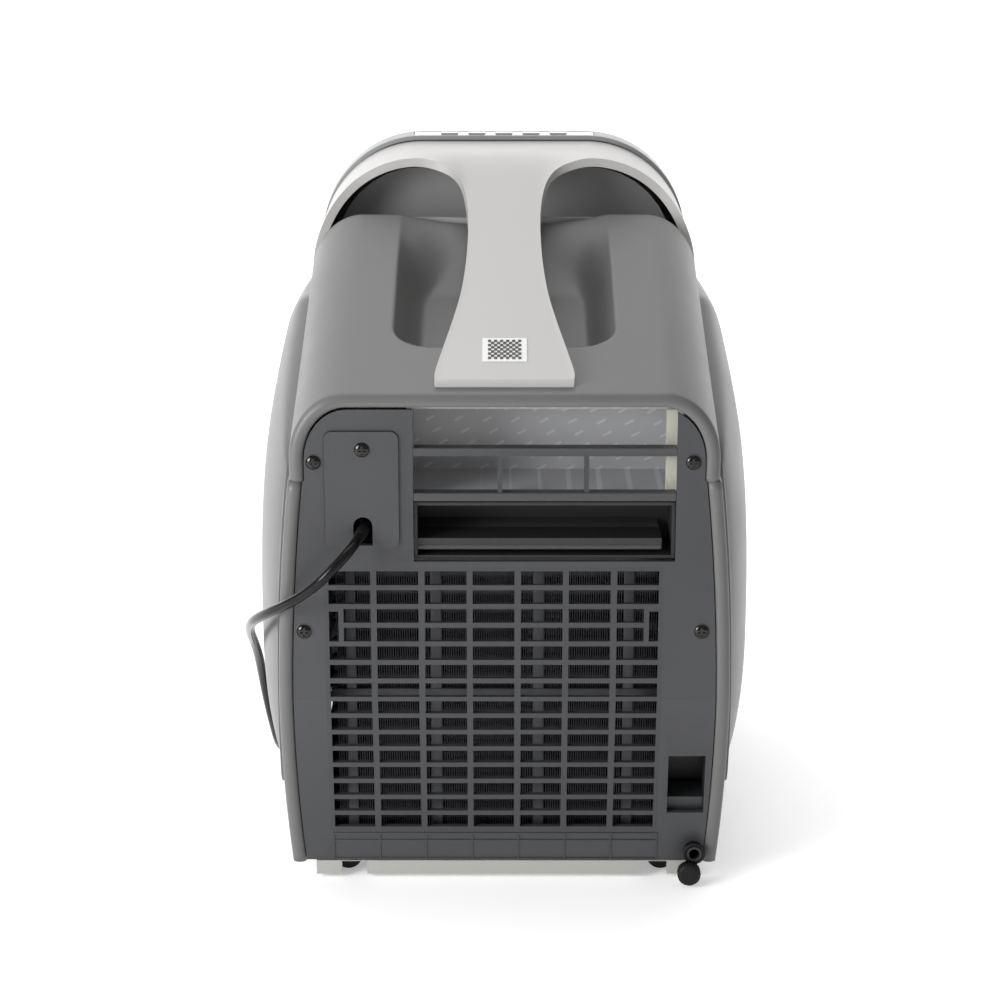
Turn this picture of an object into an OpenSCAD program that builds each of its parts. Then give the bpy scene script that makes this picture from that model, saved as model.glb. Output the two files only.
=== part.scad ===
// Compact compressor dehumidifier on four small casters, with a hoop handle, a rear intake
// grille, a rear air outlet, a drain nozzle and a mains lead.
// +Z is up, +Y points to the front of the unit, and the rear face looks along -Y.

/* [Body] */
// Depth from the rear rim to the front face
body_d = 372; // [330:1:420]
// Width of the shells above the barrel, without the side covers
body_w = 268; // [250:1:300]
// How much wider the shells get at their belly, on each side
belly = 10; // [4:1:14]
// Height of the front panel's top above the floor
body_h = 446; // [430:1:470]
// Height of the rear rim
rim_h = 335; // [325:1:345]
// Height of the crest, where the upper shell ends under the hoop
crest_h = 408; // [400:1:415]
// Distance from the rear rim to the crest
crest_run = 240; // [225:1:250]
// Wall of the moulded shells
wall = 3; // [2.4:0.2:4]
// Height of the seam between the upper and the lower shell
seam_h = 280; // [265:1:290]
// Gap between the lower shell and the floor
ground_gap = 12; // [10:1:14]
// Height where the rear face starts to tuck in towards the floor
kink_h = 135; // [120:1:145]
// How far the rear face tucks in at its lower edge
tuck = 24; // [10:1:30]

/* [Rear panel] */
// Width of the rim that frames the rear panel
rim_w = 9; // [8:0.5:10]
// Thickness of the rear panel
panel_t = 3; // [2.5:0.5:4]
// Columns of grille slots
grille_cols = 7; // [5:1:7]
// Slot length across
slot_w = 26.4; // [20:0.2:26.8]
// Slot height
slot_h = 9.2; // [6:0.2:10]
// Distance between slot rows
slot_pitch = 12.5; // [11.5:0.1:13]
// Width of the air outlet
outlet_w = 164; // [120:1:166]
// Height of the air outlet
outlet_h = 99; // [80:1:99]

/* [Handle] */
// Width of the bridge at its narrowest
grip_w = 49; // [40:1:60]
// Thickness of the hoop
hoop_t = 6; // [4:0.5:8]
// Thickness of the bridge
grip_t = 14; // [10:1:15]
// Depth of the finger scoops under the bridge
scoop_depth = 28; // [20:1:30]

/* [Side covers] */
// How far each side cover bulges out past the belly
pod_bulge = 20; // [14:1:26]

/* [Front outlet] */
// Number of louver blades
louver_count = 5; // [3:1:5]
// Distance between louver blades
louver_pitch = 15; // [14:0.5:15]
// Chord of a louver blade
louver_chord = 13; // [8:0.5:13]

/* [Casters] */
// Radius of a caster wheel
wheel_r = 9; // [8:0.5:9.5]
// Width of a caster wheel
wheel_w = 7; // [5:0.5:8]
// Distance from the swivel axis to the axle
trail = 5; // [3:0.5:6]

/* [Fans] */
// Radius of the exhaust blower wheel
exhaust_r = 66; // [50:1:68]
// Radius of the room-air blower wheel
cool_r = 30; // [22:1:31]

/* [Drain] */
// Outer radius of the drain nozzle
nozzle_r = 5; // [4:0.5:6]
// Radius of the drain cap
cap_r = 7.5; // [6:0.5:7.5]

/* [Power cord] */
// Diameter of the mains lead
cord_d = 6.5; // [6:0.1:7.2]

/* [Hidden] */

// Clearances
running = 0.05;     // radial, between a shaft and its bore
gap = 0.3;          // between pieces that are only close to each other
eps = 0.01;

// Places along Y
rear_y = -body_d / 2;
front_y = body_d / 2;
crest_y = rear_y + crest_run;
hoop_y0 = crest_y + 14;       // rear edge of the hoop's top
front_joint_y = front_y - 82; // where the front panel starts on the sides
hoop_y1 = front_y - 32;       // front edge of the hoop's top

// The barrel of the shells: half-width at height z
belly_h = 120;
belly_run = 170; // height over which the barrel fades out above that
function side_w(z) = body_w / 2 + (z > belly_h
    ? belly * (1 - pow(min(1, (z - belly_h) / belly_run), 2))
    : belly - 0.55 * belly * pow((belly_h - z) / belly_h, 2));
// Y of the rear face at height z
function rear_at(z) = rear_y + max(0, kink_h - z) * tuck / (kink_h - ground_gap);
tuck_angle = atan(tuck / (kink_h - ground_gap));
slope_angle = atan((crest_h - rim_h) / crest_run);
function slope_z(y) = rim_h + (y - rear_y) * tan(slope_angle);

// A closed solid through a list of rings. Its ends are ladders between point k of a ring and
// the k-th point from the ring's end, so a ring is an outline that is laid out in such pairs.
module skin(rings) {
    n = len(rings[0]);
    m = len(rings);
    last = (m - 1) * n;
    sides = [for (i = [0:m - 2], k = [0:n - 1]) let (a = i * n + k, b = i * n + (k + 1) % n)
        each [[a, a + n, b + n], [a, b + n, b]]];
    ends = [for (k = [0:n / 2 - 2]) let (a = k, b = n - 1 - k)
        each [[a, a + 1, b - 1], [a, b - 1, b], [last + a, last + b - 1, last + a + 1],
            [last + a, last + b, last + b - 1]]];
    polyhedron([for (r = rings) each r], concat(sides, ends));
}
function flip(path) = [for (k = [len(path) - 1:-1:0]) path[k]];
function mirrored(path) = [for (p = flip(path)) [-p[0], p[1]]];
// Left half of an arch: up the side from z0, round an elliptic corner, to the flat top
function half_arch(w, top, a, b, z0, n = 8) = concat([[-w, z0]],
    [for (k = [0:n]) [-(w - a) - a * cos(90 * k / n), top - b + b * sin(90 * k / n)]]);
function arch(w, top, a, b, z0) = let (left = half_arch(w, top, a, b, z0))
    concat(left, mirrored(left));
function band(w, top, a, b, z0, t) =
    concat(arch(w, top, a, b, z0), flip(arch(w - t, top - t, a - t, b - t, z0)));
function at_y(path, y) = [for (p = path) [p[0], y, p[1]]];
function at_z(path, z) = [for (p = path) [p[0], p[1], z]];

// A plate drawn in X and Z, with its rear face at y
module upright(y, t) {
    translate([0, y + t, 0]) rotate([90, 0, 0]) linear_extrude(t) children();
}
module box(low, high) {
    translate(low) cube(high - low);
}
module rod_x(r, x0, x1, y, z) {
    translate([x0, y, z]) rotate([0, 90, 0]) cylinder(r = r, h = x1 - x0, $fn = 48);
}
module rod_y(r, y0, y1, x, z) {
    translate([x, y0, z]) rotate([-90, 0, 0]) cylinder(r = r, h = y1 - y0, $fn = 48);
}
module round_rect(x0, x1, z0, z1, r) {
    for (x = [x0 + r, x1 - r], z = [z0 + r, z1 - r]) translate([x, z]) circle(r, $fn = 24);
    translate([x0 + r, z0]) square([x1 - x0 - 2 * r, z1 - z0]);
    translate([x0, z0 + r]) square([x1 - x0, z1 - z0 - 2 * r]);
}

// ---- Shells ----------------------------------------------------------------------------

rim_corner = [36, 42];    // half-axes of the upper shell's shoulders
hoop_corner = [74, 76];   // half-axes of the hoop's shoulders
lip_t = 4;                // thickness of the rim

plate_z = ground_gap + 0.2;         // underside of the base plate
plate_t = 3;                        // thickness of the base plate
// A block with the barrel's sides and the rear face's tuck, shrunk by inset at the sides
module barrel(inset, rear_inset, y1, grow) {
    levels = [ground_gap - grow, 50, 90, kink_h, 180, 230, seam_h - gap + grow];
    skin([for (z = levels) let (w = side_w(z) - inset, y0 = rear_at(z) + rear_inset)
        at_z([[w, y0], [w, y1], [-w, y1], [-w, y0]], z)]);
}
module lower_shell() {
    back = front_joint_y - gap;
    color("#6d6f70") difference() {
        barrel(0, 0, back, 0);
        barrel(wall, lip_t, back - wall, 1);
        barrel(rim_w, -1, back - wall - 1, 1);
        // the front wall ends above the base plate
        box([wall - side_w(0), back - wall - 1, 0], [side_w(0) - wall, back + 1, plate_z + plate_t + gap]);
    }
}

scoop_x = 68;                       // half the length of the scoop across the body
scoop_y0 = rear_y + 66;
scoop_y1 = crest_y - 40;
// Rounded box along the slope; grown by t on the sides and below
module scoop(t) {
    translate([0, 0, slope_z(0) + t]) rotate([slope_angle, 0, 0])
        translate([0, 0, -scoop_depth - 2 * t]) linear_extrude(scoop_depth + t + 30)
            offset(r = t) round_rect(-scoop_x, scoop_x, scoop_y0, scoop_y1, 24);
}

module upper_shell() {
    w = body_w / 2;
    // stations: [y, wall of the section]
    stations = [[rear_y, rim_w], [rear_y + lip_t, rim_w], [rear_y + lip_t + 0.2, wall],
        [crest_y - 12, wall], [crest_y, wall]];
    color("#7f8081") difference() {
        union() {
            skin([for (s = stations) at_y(
                band(w, slope_z(s[0]), rim_corner[0], rim_corner[1], seam_h, s[1]), s[0])]);
            intersection() {
                scoop(wall);
                skin([for (y = [rear_y + 30, crest_y - 5]) at_y(
                    arch(w - 1, slope_z(y) - 1, rim_corner[0], rim_corner[1], seam_h), y)]);
            }
        }
        scoop(0);
    }
}

// One closed outline of the front panel, shrunk by t
function front_outline(t) = let (
        w = body_w / 2 - t,
        heights = [ground_gap + t, 60, 120, 180, 240, 300],
        side = [for (z = heights) [-(side_w(z) - t), z]],
        left = concat(side, half_arch(w, body_h - t, hoop_corner[0] - t, hoop_corner[1] - t, 340)))
    concat(left, mirrored(left));
louver_x = 92;
louver_z0 = 322;
louver_zone_h = louver_pitch * louver_count + 6;

front_r = 8;    // rounding of the front panel's edge
display_x = 66;
display_y0 = hoop_y1 + 2;
display_y1 = front_y - 9;

module front_panel() {
    edge = [for (k = [0:4]) let (a = 90 * k / 4) [front_y - front_r + front_r * sin(a),
        front_r - front_r * cos(a)]];
    outer = concat([for (e = flip(edge)) at_y(front_outline(e[1]), e[0])],
        [at_y(front_outline(0), hoop_y1 + gap)]);
    inner = [for (y = [hoop_y1 + gap, front_y - wall]) at_y(front_outline(wall + 0.5), y)];
    color("#8a8c8e") difference() {
        skin(flip(concat(outer, inner)));
        box([-louver_x, front_y - 20, louver_z0], [louver_x, front_y + 5, louver_z0 + louver_zone_h]);
        box([-display_x, display_y0, body_h - 12], [display_x, display_y1, body_h + 5]);
    }
    // the side cheeks reach back under the hoop to the lower shell
    heights = [ground_gap, 60, 120, 180, 240, seam_h - gap];
    color("#8a8c8e") for (s = [0, 1]) mirror([s, 0, 0]) skin([for (z = heights) at_z(
        [for (p = [[0, front_joint_y], [0, hoop_y1 + 1], [-wall, hoop_y1 + 1],
            [-wall, front_joint_y]]) [p[0] + side_w(z), p[1]]], z)]);
}

// ---- Side covers -----------------------------------------------------------------------

pod_y0 = rear_y + 24;
pod_y1 = front_y - 34;
pod_z0 = 60;
pod_share = 0.36;     // where along its length a side cover bulges most
// Rises from 0 at the ends of [0, 1] to 1 at the peak, with round shoulders
function hump(u, peak, n) = pow(max(0, 1 - pow(abs(u - peak) / (u < peak ? peak : 1 - peak), n)), 1 / n);
// Upper edge of a side cover, below the shoulder of the shell in front of it
function pod_top(y) = min(seam_h + 72, slope_z(y) - rim_corner[1] - 6);
module side_cover(s) {
    stations = [0, 0.03, 0.08, 0.16, 0.26, 0.36, 0.48, 0.6, 0.72, 0.83, 0.92, 0.97, 1];
    levels = [0, 0.03, 0.08, 0.16, 0.27, 0.4, 0.55, 0.7, 0.82, 0.91, 0.97, 1];
    function end_round(u) = 26 * (1 - hump(u, 0.5, 5));
    function out(u, v) = 2.2 + (belly + pod_bulge - 2.2) * hump(u, pod_share, 1.9) * hump(v, 0.36, 2.4);
    function ring(u) = let (
            y = pod_y0 + (pod_y1 - pod_y0) * u,
            low = pod_z0 + end_round(u),
            high = pod_top(y) - end_round(u),
            outer = [for (v = levels) let (z = low + (high - low) * v)
                [max(side_w(z) + gap + 2.2, body_w / 2 + gap + out(u, v)), z]],
            inner = [for (p = outer) [max(side_w(p[1]) + gap, p[0] - wall), p[1]]])
        at_y(concat(inner, flip(outer)), y);
    color("#8a8c8e") mirror([s < 0 ? 1 : 0, 0, 0]) skin([for (u = stations) ring(u)]);
}

// ---- Handle ----------------------------------------------------------------------------

bridge_rise = 21;                                  // angle of the bridge
bridge_y0 = rear_y + 10;
bridge_z0 = rim_h + 8;                             // top of the bridge at its rear end
function bridge_top(y) = min(body_h - 4, bridge_z0 + (y - bridge_y0) * tan(bridge_rise));
// Half-width of the bridge at distance d in front of its rear end, as [d, half-width]
bridge_plan = [[0, 43], [8, 43.2], [34, 38.5], [60, 33.5], [90, 28.6], [120, 25.8],
    [150, grip_w / 2], [182, grip_w / 2], [204, 26], [222, 29], [236, 34.5], [243, 42], [248, 55], [250, 70]];
// The hoop's rear edge leans forward towards its top
function ease(t) = let (c = min(1, max(0, t))) c * c * (3 - 2 * c);
function hoop_rear(z) = crest_y + gap + (hoop_y0 - crest_y) * ease((z - body_h + 62) / 46);
module handle() {
    top = bridge_top(hoop_y1);
    color("#cfcdca") {
        // the bridge, from its foot on the upper shell to the hoop
        intersection() {
            linear_extrude(body_h + 50) polygon(concat(
                [for (p = bridge_plan) [-p[1], bridge_y0 + p[0]]], [[-70, hoop_y0 + 20]],
                [[70, hoop_y0 + 20]], [for (p = flip(bridge_plan)) [p[1], bridge_y0 + p[0]]]));
            translate([-100, 0, 0]) rotate([90, 0, 90]) linear_extrude(200) polygon([
                [bridge_y0, slope_z(bridge_y0) + gap], [bridge_y0, bridge_z0],
                for (k = [0:6]) let (y = hoop_y0 - 40 + 10 * k) [y, bridge_top(y)],
                [hoop_y0 + 20, bridge_top(hoop_y0 + 20) - hoop_t],
                [crest_y + 4, bridge_top(crest_y + 4) - hoop_t],
                [crest_y - 24, bridge_top(crest_y - 24) - grip_t],
                [bridge_y0 + 60, max(slope_z(bridge_y0 + 60) + gap, bridge_top(bridge_y0 + 60) - grip_t)]]);
        }
        // the hoop over the top and down both sides
        outline = band(body_w / 2, top, hoop_corner[0], hoop_corner[1], seam_h, hoop_t);
        skin([[for (p = outline) [p[0], hoop_rear(p[1]), p[1]]], at_y(outline, hoop_y1)]);
    }
}
module handle_label() {
    w = 14;
    y0 = bridge_y0 + 18;
    color("white") translate([0, y0, bridge_top(y0) + 0.02]) rotate([bridge_rise, 0, 0])
        translate([-w, 0, 0]) cube([2 * w, 26, 0.4]);
}
// Dark wall and floor behind the finger openings
liner_z0 = crest_h - 22;
module handle_liner() {
    w = body_w / 2 - 12;
    y1 = hoop_y0 + 44;
    color("#4a4a4b") {
        box([-w + 18, crest_y + gap, liner_z0], [w - 18, y1, liner_z0 + 3]);
        box([-w + 20, crest_y + gap, liner_z0], [w - 20, crest_y + 3, crest_h - wall - 2]);
        intersection() {
            upright(y1 - 3, 3) polygon(arch(w, body_h - 16, hoop_corner[0] - 12, hoop_corner[1] - 12,
                seam_h));
            box([-w, y1 - 4, liner_z0], [w, y1, body_h]);
        }
    }
}

// ---- Rear panel ------------------------------------------------------------------------

panel_face = 2;              // the panel sits this far inside the rim
panel_top = rim_h - rim_w - gap;
outlet_x1 = 107;
outlet_x0 = outlet_x1 - outlet_w;
outlet_z0 = panel_top - outlet_h + 0.7;
grille_pitch = 30.3;
grille_bar = grille_pitch - slot_w;
grille_x0 = -111;
grille_x1 = grille_x0 + grille_cols * grille_pitch - grille_bar;
upper_rows = 7;
lower_rows = 8;
grille_top = kink_h + upper_rows * slot_pitch - 1.5;
cover_x = [-112, -66];
cover_z = [236.5, 312];
notch_x = (cover_x[0] + cover_x[1]) / 2 + 0.5;
notch_w = 12;
notch_z = 255;
pocket_x = [106, 130];
pocket_z = [48, 92];
panel_screw_x = 117.5;
screw_spots = [[-panel_screw_x, 292], [panel_screw_x, 292], [-125.5, 181], [125, 181]];
cover_screw = [notch_x, 300.5];
screw_r = 3.6;

// The slotted fields are nodes of their own, let into the panel's frame edge to edge
field_x = [grille_x0 - 3, grille_x1 + 3];
field_rim = 3;
lower_h = (kink_h - ground_gap - 1) / cos(tuck_angle);
lower_field = lower_rows * slot_pitch - 2 + field_rim;
latch_size = [6, 20];
latch_bar = 3.2; // left standing between a latch slot and its row
latch_z = grille_top - 46.7;
// A row of slots; trim shortens both ends of the row
module slot_row(z, trim = 0) {
    difference() {
        for (c = [0:grille_cols - 1]) translate([grille_x0 + c * grille_pitch, z])
            square([slot_w, slot_h]);
        for (x = [grille_x0 - 1, grille_x1 - trim]) translate([x, z - 1]) square([trim + 1, slot_h + 2]);
    }
}
module upper_field() {
    translate([field_x[0], kink_h]) square([field_x[1] - field_x[0], grille_top + field_rim - kink_h]);
}
module lower_field() {
    translate([field_x[0], -lower_field]) square([field_x[1] - field_x[0], lower_field + 1]);
}
module upper_outline() {
    inset = rim_w + gap;
    heights = [for (k = [0:6]) kink_h + (seam_h - kink_h) * k / 6];
    side = [for (z = heights) [-(side_w(z) - inset), z]];
    polygon(concat(side, mirrored(side)));
    polygon(arch(body_w / 2 - inset, panel_top, rim_corner[0] - inset, rim_corner[1] - inset,
        seam_h - eps));
}
module lower_outline() {
    drops = [for (k = [0:6]) lower_h * k / 6];
    side = [for (d = drops) [-(side_w(kink_h - d * cos(tuck_angle)) - rim_w - gap), -d]];
    polygon(concat(flip(side), [[side[0][0], 1], [-side[0][0], 1]],
        [for (p = side) [-p[0], p[1]]]));
}
// Anything fixed on the leaning part: z is measured along it, from the kink
module on_lower_panel() {
    translate([0, rear_y + panel_face, kink_h]) rotate([tuck_angle, 0, 0]) children();
}
// A plate of the leaning part, cut level where it meets the upright part
module lower_plate() {
    difference() {
        on_lower_panel() upright(0, panel_t) children();
        box([-body_w, rear_y - 10, kink_h], [body_w, rear_y + 30, kink_h + 20]);
    }
}
module rear_panel() {
    color("#5c6062") upright(rear_y + panel_face, panel_t) difference() {
        upper_outline();
        upper_field();
        translate([outlet_x0, outlet_z0]) square([outlet_w, outlet_h + 10]);
        translate([notch_x - notch_w / 2, cover_z[0] + 2]) square([notch_w, notch_z - cover_z[0]]);
        for (p = screw_spots) translate(p) circle(screw_r + gap, $fn = 32);
    }
}
module rear_panel_lower() {
    color("#5c6062") lower_plate() difference() {
        lower_outline();
        lower_field();
        translate([pocket_x[0], pocket_z[0] - kink_h])
            square([pocket_x[1] - pocket_x[0], pocket_z[1] - pocket_z[0]]);
        translate([nozzle_x, (nozzle_z - kink_h) / cos(tuck_angle)]) circle(nozzle_r + 1, $fn = 32);
    }
}
module intake_grille_upper() {
    color("#5c6062") upright(rear_y + panel_face, panel_t) difference() {
        upper_field();
        for (i = [0:upper_rows - 1]) slot_row(grille_top - slot_h - i * slot_pitch,
            i == 2 || i == 3 ? latch_size[0] + latch_bar : 0);
        for (x = [grille_x0, grille_x1 - latch_size[0]]) translate([x, latch_z]) square(latch_size);
    }
}
module intake_grille_lower() {
    color("#5c6062") lower_plate() difference() {
        lower_field();
        for (i = [0:lower_rows - 1]) translate([0, -(i + 1) * slot_pitch + 2]) slot_row(0);
    }
}

module cord_cover() {
    color("#616568") upright(rear_y + panel_face - 1.6, 1.55) difference() {
        round_rect(cover_x[0], cover_x[1], cover_z[0], cover_z[1], 5);
        translate([notch_x - notch_w / 2, cover_z[0] + 2])
            square([notch_w, notch_z - cover_z[0] - notch_w / 2]);
        translate([notch_x, notch_z - notch_w / 2 + 2]) circle(notch_w / 2, $fn = 32);
        translate(cover_screw) circle(screw_r + gap, $fn = 32);
    }
}
module panel_screws() {
    color("#3c3c3e") {
        for (p = screw_spots) rod_y(screw_r, rear_y + panel_face + 0.6, rear_y + 12, p[0], p[1]);
        rod_y(screw_r, rear_y + panel_face - 1.2, rear_y + panel_face - 0.05, cover_screw[0],
            cover_screw[1]);
    }
}

outlet_bar_z = [296, 267];
outlet_post_x = [-3, 51];
module outlet_grille() {
    y0 = rear_y + panel_face;
    color("#55585b") {
        for (z = outlet_bar_z) box([outlet_x0 + gap, y0, z], [outlet_x1 - gap, y0 + 9, z + 5]);
        for (x = outlet_post_x) box([x - 1.5, y0 + 1, outlet_bar_z[1] + 4],
            [x + 1.5, y0 + 8, outlet_bar_z[0] + 1]);
    }
}
duct_y1 = rear_y + 72;
module outlet_duct() {
    z0 = outlet_bar_z[1] + 2;
    z1 = rim_h - rim_w - 1;
    y0 = rear_y + 12;
    color("#c4c6c9") difference() {
        box([outlet_x0 - 4, y0, z0 - 3], [outlet_x1 + 4, duct_y1, z1 + 1]);
        box([outlet_x0 - 1, y0 - 1, z0], [outlet_x1 + 1, duct_y1 - 3, z1 - 1]);
    }
}
module foam_seal() {
    color("#d8d3b8") box([outlet_x1 - 6, rear_y + 13, outlet_bar_z[1] + 3],
        [outlet_x1 + 0.6, rear_y + 20, rim_h - rim_w - 3]);
}
ledge_z = [234, 241];
module outlet_tray() {
    x0 = outlet_x0 + gap;
    x1 = outlet_x1 - gap;
    z1 = outlet_bar_z[1] - 2;
    y0 = rear_y + 6;
    color("#2c2d2f") {
        difference() {
            box([x0, y0, outlet_z0 + 1], [x1, y0 + 42, z1]);
            box([x0 + 2, y0 - 1, outlet_z0 + 3], [x1 - 2, y0 + 40, z1 - 2]);
        }
        box([x0 + 2 - eps, y0 + 2, ledge_z[0]], [x1 - 8, y0 + 40 + eps, ledge_z[1]]);
    }
}

pocket_deep = 26;
module pocket_liner() {
    color("#3a3d3f") on_lower_panel() difference() {
        translate([pocket_x[0] - 2, panel_t + 0.05, pocket_z[0] - kink_h - 2])
            cube([pocket_x[1] - pocket_x[0] + 4, pocket_deep, pocket_z[1] - pocket_z[0] + 4]);
        translate([pocket_x[0], panel_t - 1, pocket_z[0] - kink_h])
            cube([pocket_x[1] - pocket_x[0], pocket_deep, pocket_z[1] - pocket_z[0]]);
    }
}
module pocket_bracket() {
    color("#8f9296") on_lower_panel() translate([pocket_x[0] + 0.2, panel_t + 2, pocket_z[0] - kink_h + 0.2])
        cube([pocket_x[1] - pocket_x[0] - 0.4, pocket_deep - 8, 9]);
}

// ---- Controls --------------------------------------------------------------------------

button_size = [12, 8];
button_pitch = 20;
button_y = (display_y0 + display_y1) / 2;
module display_panel() {
    y0 = display_y0 + gap;
    y1 = display_y1 - gap;
    color("#a8aab4") difference() {
        box([-display_x + gap, y0, body_h - 4], [display_x - gap, y1, body_h - 0.3]);
        for (i = [-2:2]) translate([i * button_pitch - button_size[0] / 2 - gap,
            button_y - button_size[1] / 2 - gap, body_h - 10])
            cube([button_size[0] + 2 * gap, button_size[1] + 2 * gap, 20]);
    }
}
module button(i) {
    color("#8d9098") translate([i * button_pitch - button_size[0] / 2,
        button_y - button_size[1] / 2, body_h - 6])
        cube([button_size[0], button_size[1], 6.6]);
}
module control_board() {
    color("#2f6b46") box([-display_x + 2, display_y0 - 20, body_h - 14], [display_x - 2, display_y1 - 2,
        body_h - 12.4]);
}

// ---- Front outlet ----------------------------------------------------------------------

pin_r = 1.5;
louver_y = front_y - 12;
louver_half = louver_x - 5;
function louver_z(i) = louver_z0 + 3 + louver_pitch * (i - 0.5);
module louver_frame() {
    z1 = louver_z0 + louver_zone_h;
    color("#3a3c3f") difference() {
        box([-louver_x + gap, front_y - 22, louver_z0 + gap], [louver_x - gap, front_y - 1, z1 - gap]);
        box([-louver_x + 4, front_y - 30, louver_z0 + 3], [louver_x - 4, front_y + 1, z1 - 3]);
        for (i = [1:louver_count])
            rod_x(pin_r + running, -louver_x - 1, louver_x + 1, louver_y, louver_z(i));
    }
}
module louver(i) {
    if (i <= louver_count) color("#8a8c8e") {
        translate([-louver_half, louver_y - louver_chord / 2, louver_z(i) - 1])
            cube([2 * louver_half, louver_chord, 2]);
        rod_x(pin_r, -louver_x + 1, louver_x - 1, louver_y, louver_z(i));
    }
}

// ---- Inside ----------------------------------------------------------------------------

coil_y = rear_y + 30;
module finned_coil(x0, x1, y, deep, z0, z1) {
    fins = 14;
    for (i = [0:fins]) let (x = x0 + (x1 - x0) * i / fins)
        box([x - 1, y, z0], [x + 1, y + deep, z1]);
    for (z = [z0 + 12:(z1 - z0 - 24) / 8:z1 - 11])
        rod_x(3.5, x0 - 4, x1 + 4, y + deep / 2, z);
}
module condenser_coil() {
    color("#8e8f93") finned_coil(grille_x0 + 2, 98, coil_y, 24, fork_top + 9, 218);
}
module evaporator_coil() {
    color("#8e8f93") finned_coil(-108, 108, front_joint_y - 34, 24, 60, 300);
}
compressor_at = [66, -18];
compressor_r = 44;
module compressor() {
    color("#26282a") translate([compressor_at[0], compressor_at[1], 34]) {
        cylinder(r = compressor_r, h = 120, $fn = 64);
        translate([0, 0, 120 - eps]) cylinder(r1 = compressor_r, r2 = 20, h = 18, $fn = 64);
        cylinder(r = 58, h = 4, $fn = 64);
    }
}
module compressor_feet() {
    color("#1c1c1c") for (a = [45:90:315])
        translate([compressor_at[0] + 51 * cos(a), compressor_at[1] + 51 * sin(a), 20.5])
            cylinder(r = 6, h = 13.3, $fn = 32);
}
scroll_at = [-36, 150];
scroll_y0 = rear_y + 62;
module exhaust_scroll() {
    deep = 44;
    r = exhaust_r + 12;
    color("#9a9c9f") difference() {
        rod_y(r, scroll_y0, scroll_y0 + deep, scroll_at[0], scroll_at[1]);
        rod_y(r - 3, scroll_y0 + 3, scroll_y0 + deep + 1, scroll_at[0], scroll_at[1]);
        rod_y(exhaust_r - 14, scroll_y0 - 1, scroll_y0 + 4, scroll_at[0], scroll_at[1]);
    }
}
shaft_r = 4;
module exhaust_wheel() {
    y0 = scroll_y0 + 5;
    color("#3d3f42") difference() {
        union() {
            rod_y(12, y0, y0 + 34, scroll_at[0], scroll_at[1]);
            rod_y(exhaust_r, y0 + 31, y0 + 34, scroll_at[0], scroll_at[1]);
            for (a = [0:20:340]) translate([scroll_at[0], y0, scroll_at[1]]) rotate([0, a, 0])
                translate([exhaust_r - 16, 0, -1]) cube([14, 32, 2]);
            difference() {
                rod_y(exhaust_r, y0, y0 + 3, scroll_at[0], scroll_at[1]);
                rod_y(exhaust_r - 17, y0 - 1, y0 + 4, scroll_at[0], scroll_at[1]);
            }
        }
        rod_y(shaft_r + running, y0 - 1, y0 + 40, scroll_at[0], scroll_at[1]);
    }
}
module exhaust_motor() {
    y0 = scroll_y0 + 5;
    color("#77797c") {
        rod_y(shaft_r, y0 + 4, y0 + 44, scroll_at[0], scroll_at[1]);
        rod_y(30, y0 + 43, y0 + 78, scroll_at[0], scroll_at[1]);
    }
}
cool_y = front_joint_y + 32;
cool_z = 352;
module cool_wheel() {
    x = 84;
    color("#3d3f42") difference() {
        union() {
            for (s = [-1, 0, 1]) rod_x(cool_r, s * (x - 1.5) - 1.5, s * (x - 1.5) + 1.5, cool_y, cool_z);
            for (a = [0:22.5:350]) translate([-x, cool_y, cool_z]) rotate([a, 0, 0])
                translate([0, cool_r - 9, -0.8]) cube([2 * x, 8, 1.6]);
        }
        rod_x(shaft_r + running, -x - 1, x + 1, cool_y, cool_z);
    }
}
module cool_motor() {
    color("#77797c") {
        rod_x(shaft_r, -90, 90, cool_y, cool_z);
        rod_x(20, 89, 112, cool_y, cool_z);
    }
}
module refrigerant_pipes() {
    color("#b87333") {
        rod_x(4, 40, 106, 44, 210);
        rod_y(4, -128, 44, 106, 210);
        translate([66, 44, 130]) cylinder(r = 4, h = 80, $fn = 24);
        translate([66, 30, 130]) rod_y(4, 0, 14, 0, 0);
    }
}
module drain_pan() {
    color("#b9bbbd") difference() {
        box([-116, front_joint_y - 42, 40], [116, front_joint_y - 6, 58]);
        box([-113, front_joint_y - 39, 43], [113, front_joint_y - 9, 60]);
    }
}
nozzle_x = 124.5;
nozzle_z = 21.5;
nozzle_out = 7;        // how far the nozzle stands out of the rear panel
nozzle_y = rear_at(nozzle_z) - nozzle_out;
module drain_nozzle() {
    color("#1d1d1e") difference() {
        union() {
            rod_y(nozzle_r, nozzle_y, nozzle_y + 40, nozzle_x, nozzle_z);
            rod_y(nozzle_r + 1.2, nozzle_y + nozzle_out + 7, nozzle_y + nozzle_out + 9, nozzle_x, nozzle_z);
        }
        rod_y(nozzle_r - 1.5, nozzle_y - 1, nozzle_y + 41, nozzle_x, nozzle_z);
    }
}
// The cap hangs on a ring that turns round the nozzle
cap_drop = 12;
module drain_cap() {
    y1 = nozzle_y + 3.2;
    color("#1a1a1b") {
        difference() {
            rod_y(nozzle_r + 2.4, y1 - 3, y1, nozzle_x, nozzle_z);
            rod_y(nozzle_r + running, y1 - 4, y1 + 1, nozzle_x, nozzle_z);
        }
        translate([nozzle_x - 2, y1 - 2.6, nozzle_z - cap_drop]) cube([4, 2, cap_drop - nozzle_r - 1]);
        rod_y(cap_r, y1 - 11, y1 - 2, nozzle_x - 3.5, nozzle_z - cap_drop);
    }
}
// Terminal block behind the lead's cover, and the motor capacitor
module electrics() {
    color("#d9d9d6") box([-106, rear_y + 14, 262], [-74, rear_y + 34, 284]);
    color("#a9abae") rod_y(17, rear_y + 82, rear_y + 150, notch_x + 4, 262);
}

// ---- Base and casters ------------------------------------------------------------------

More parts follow.
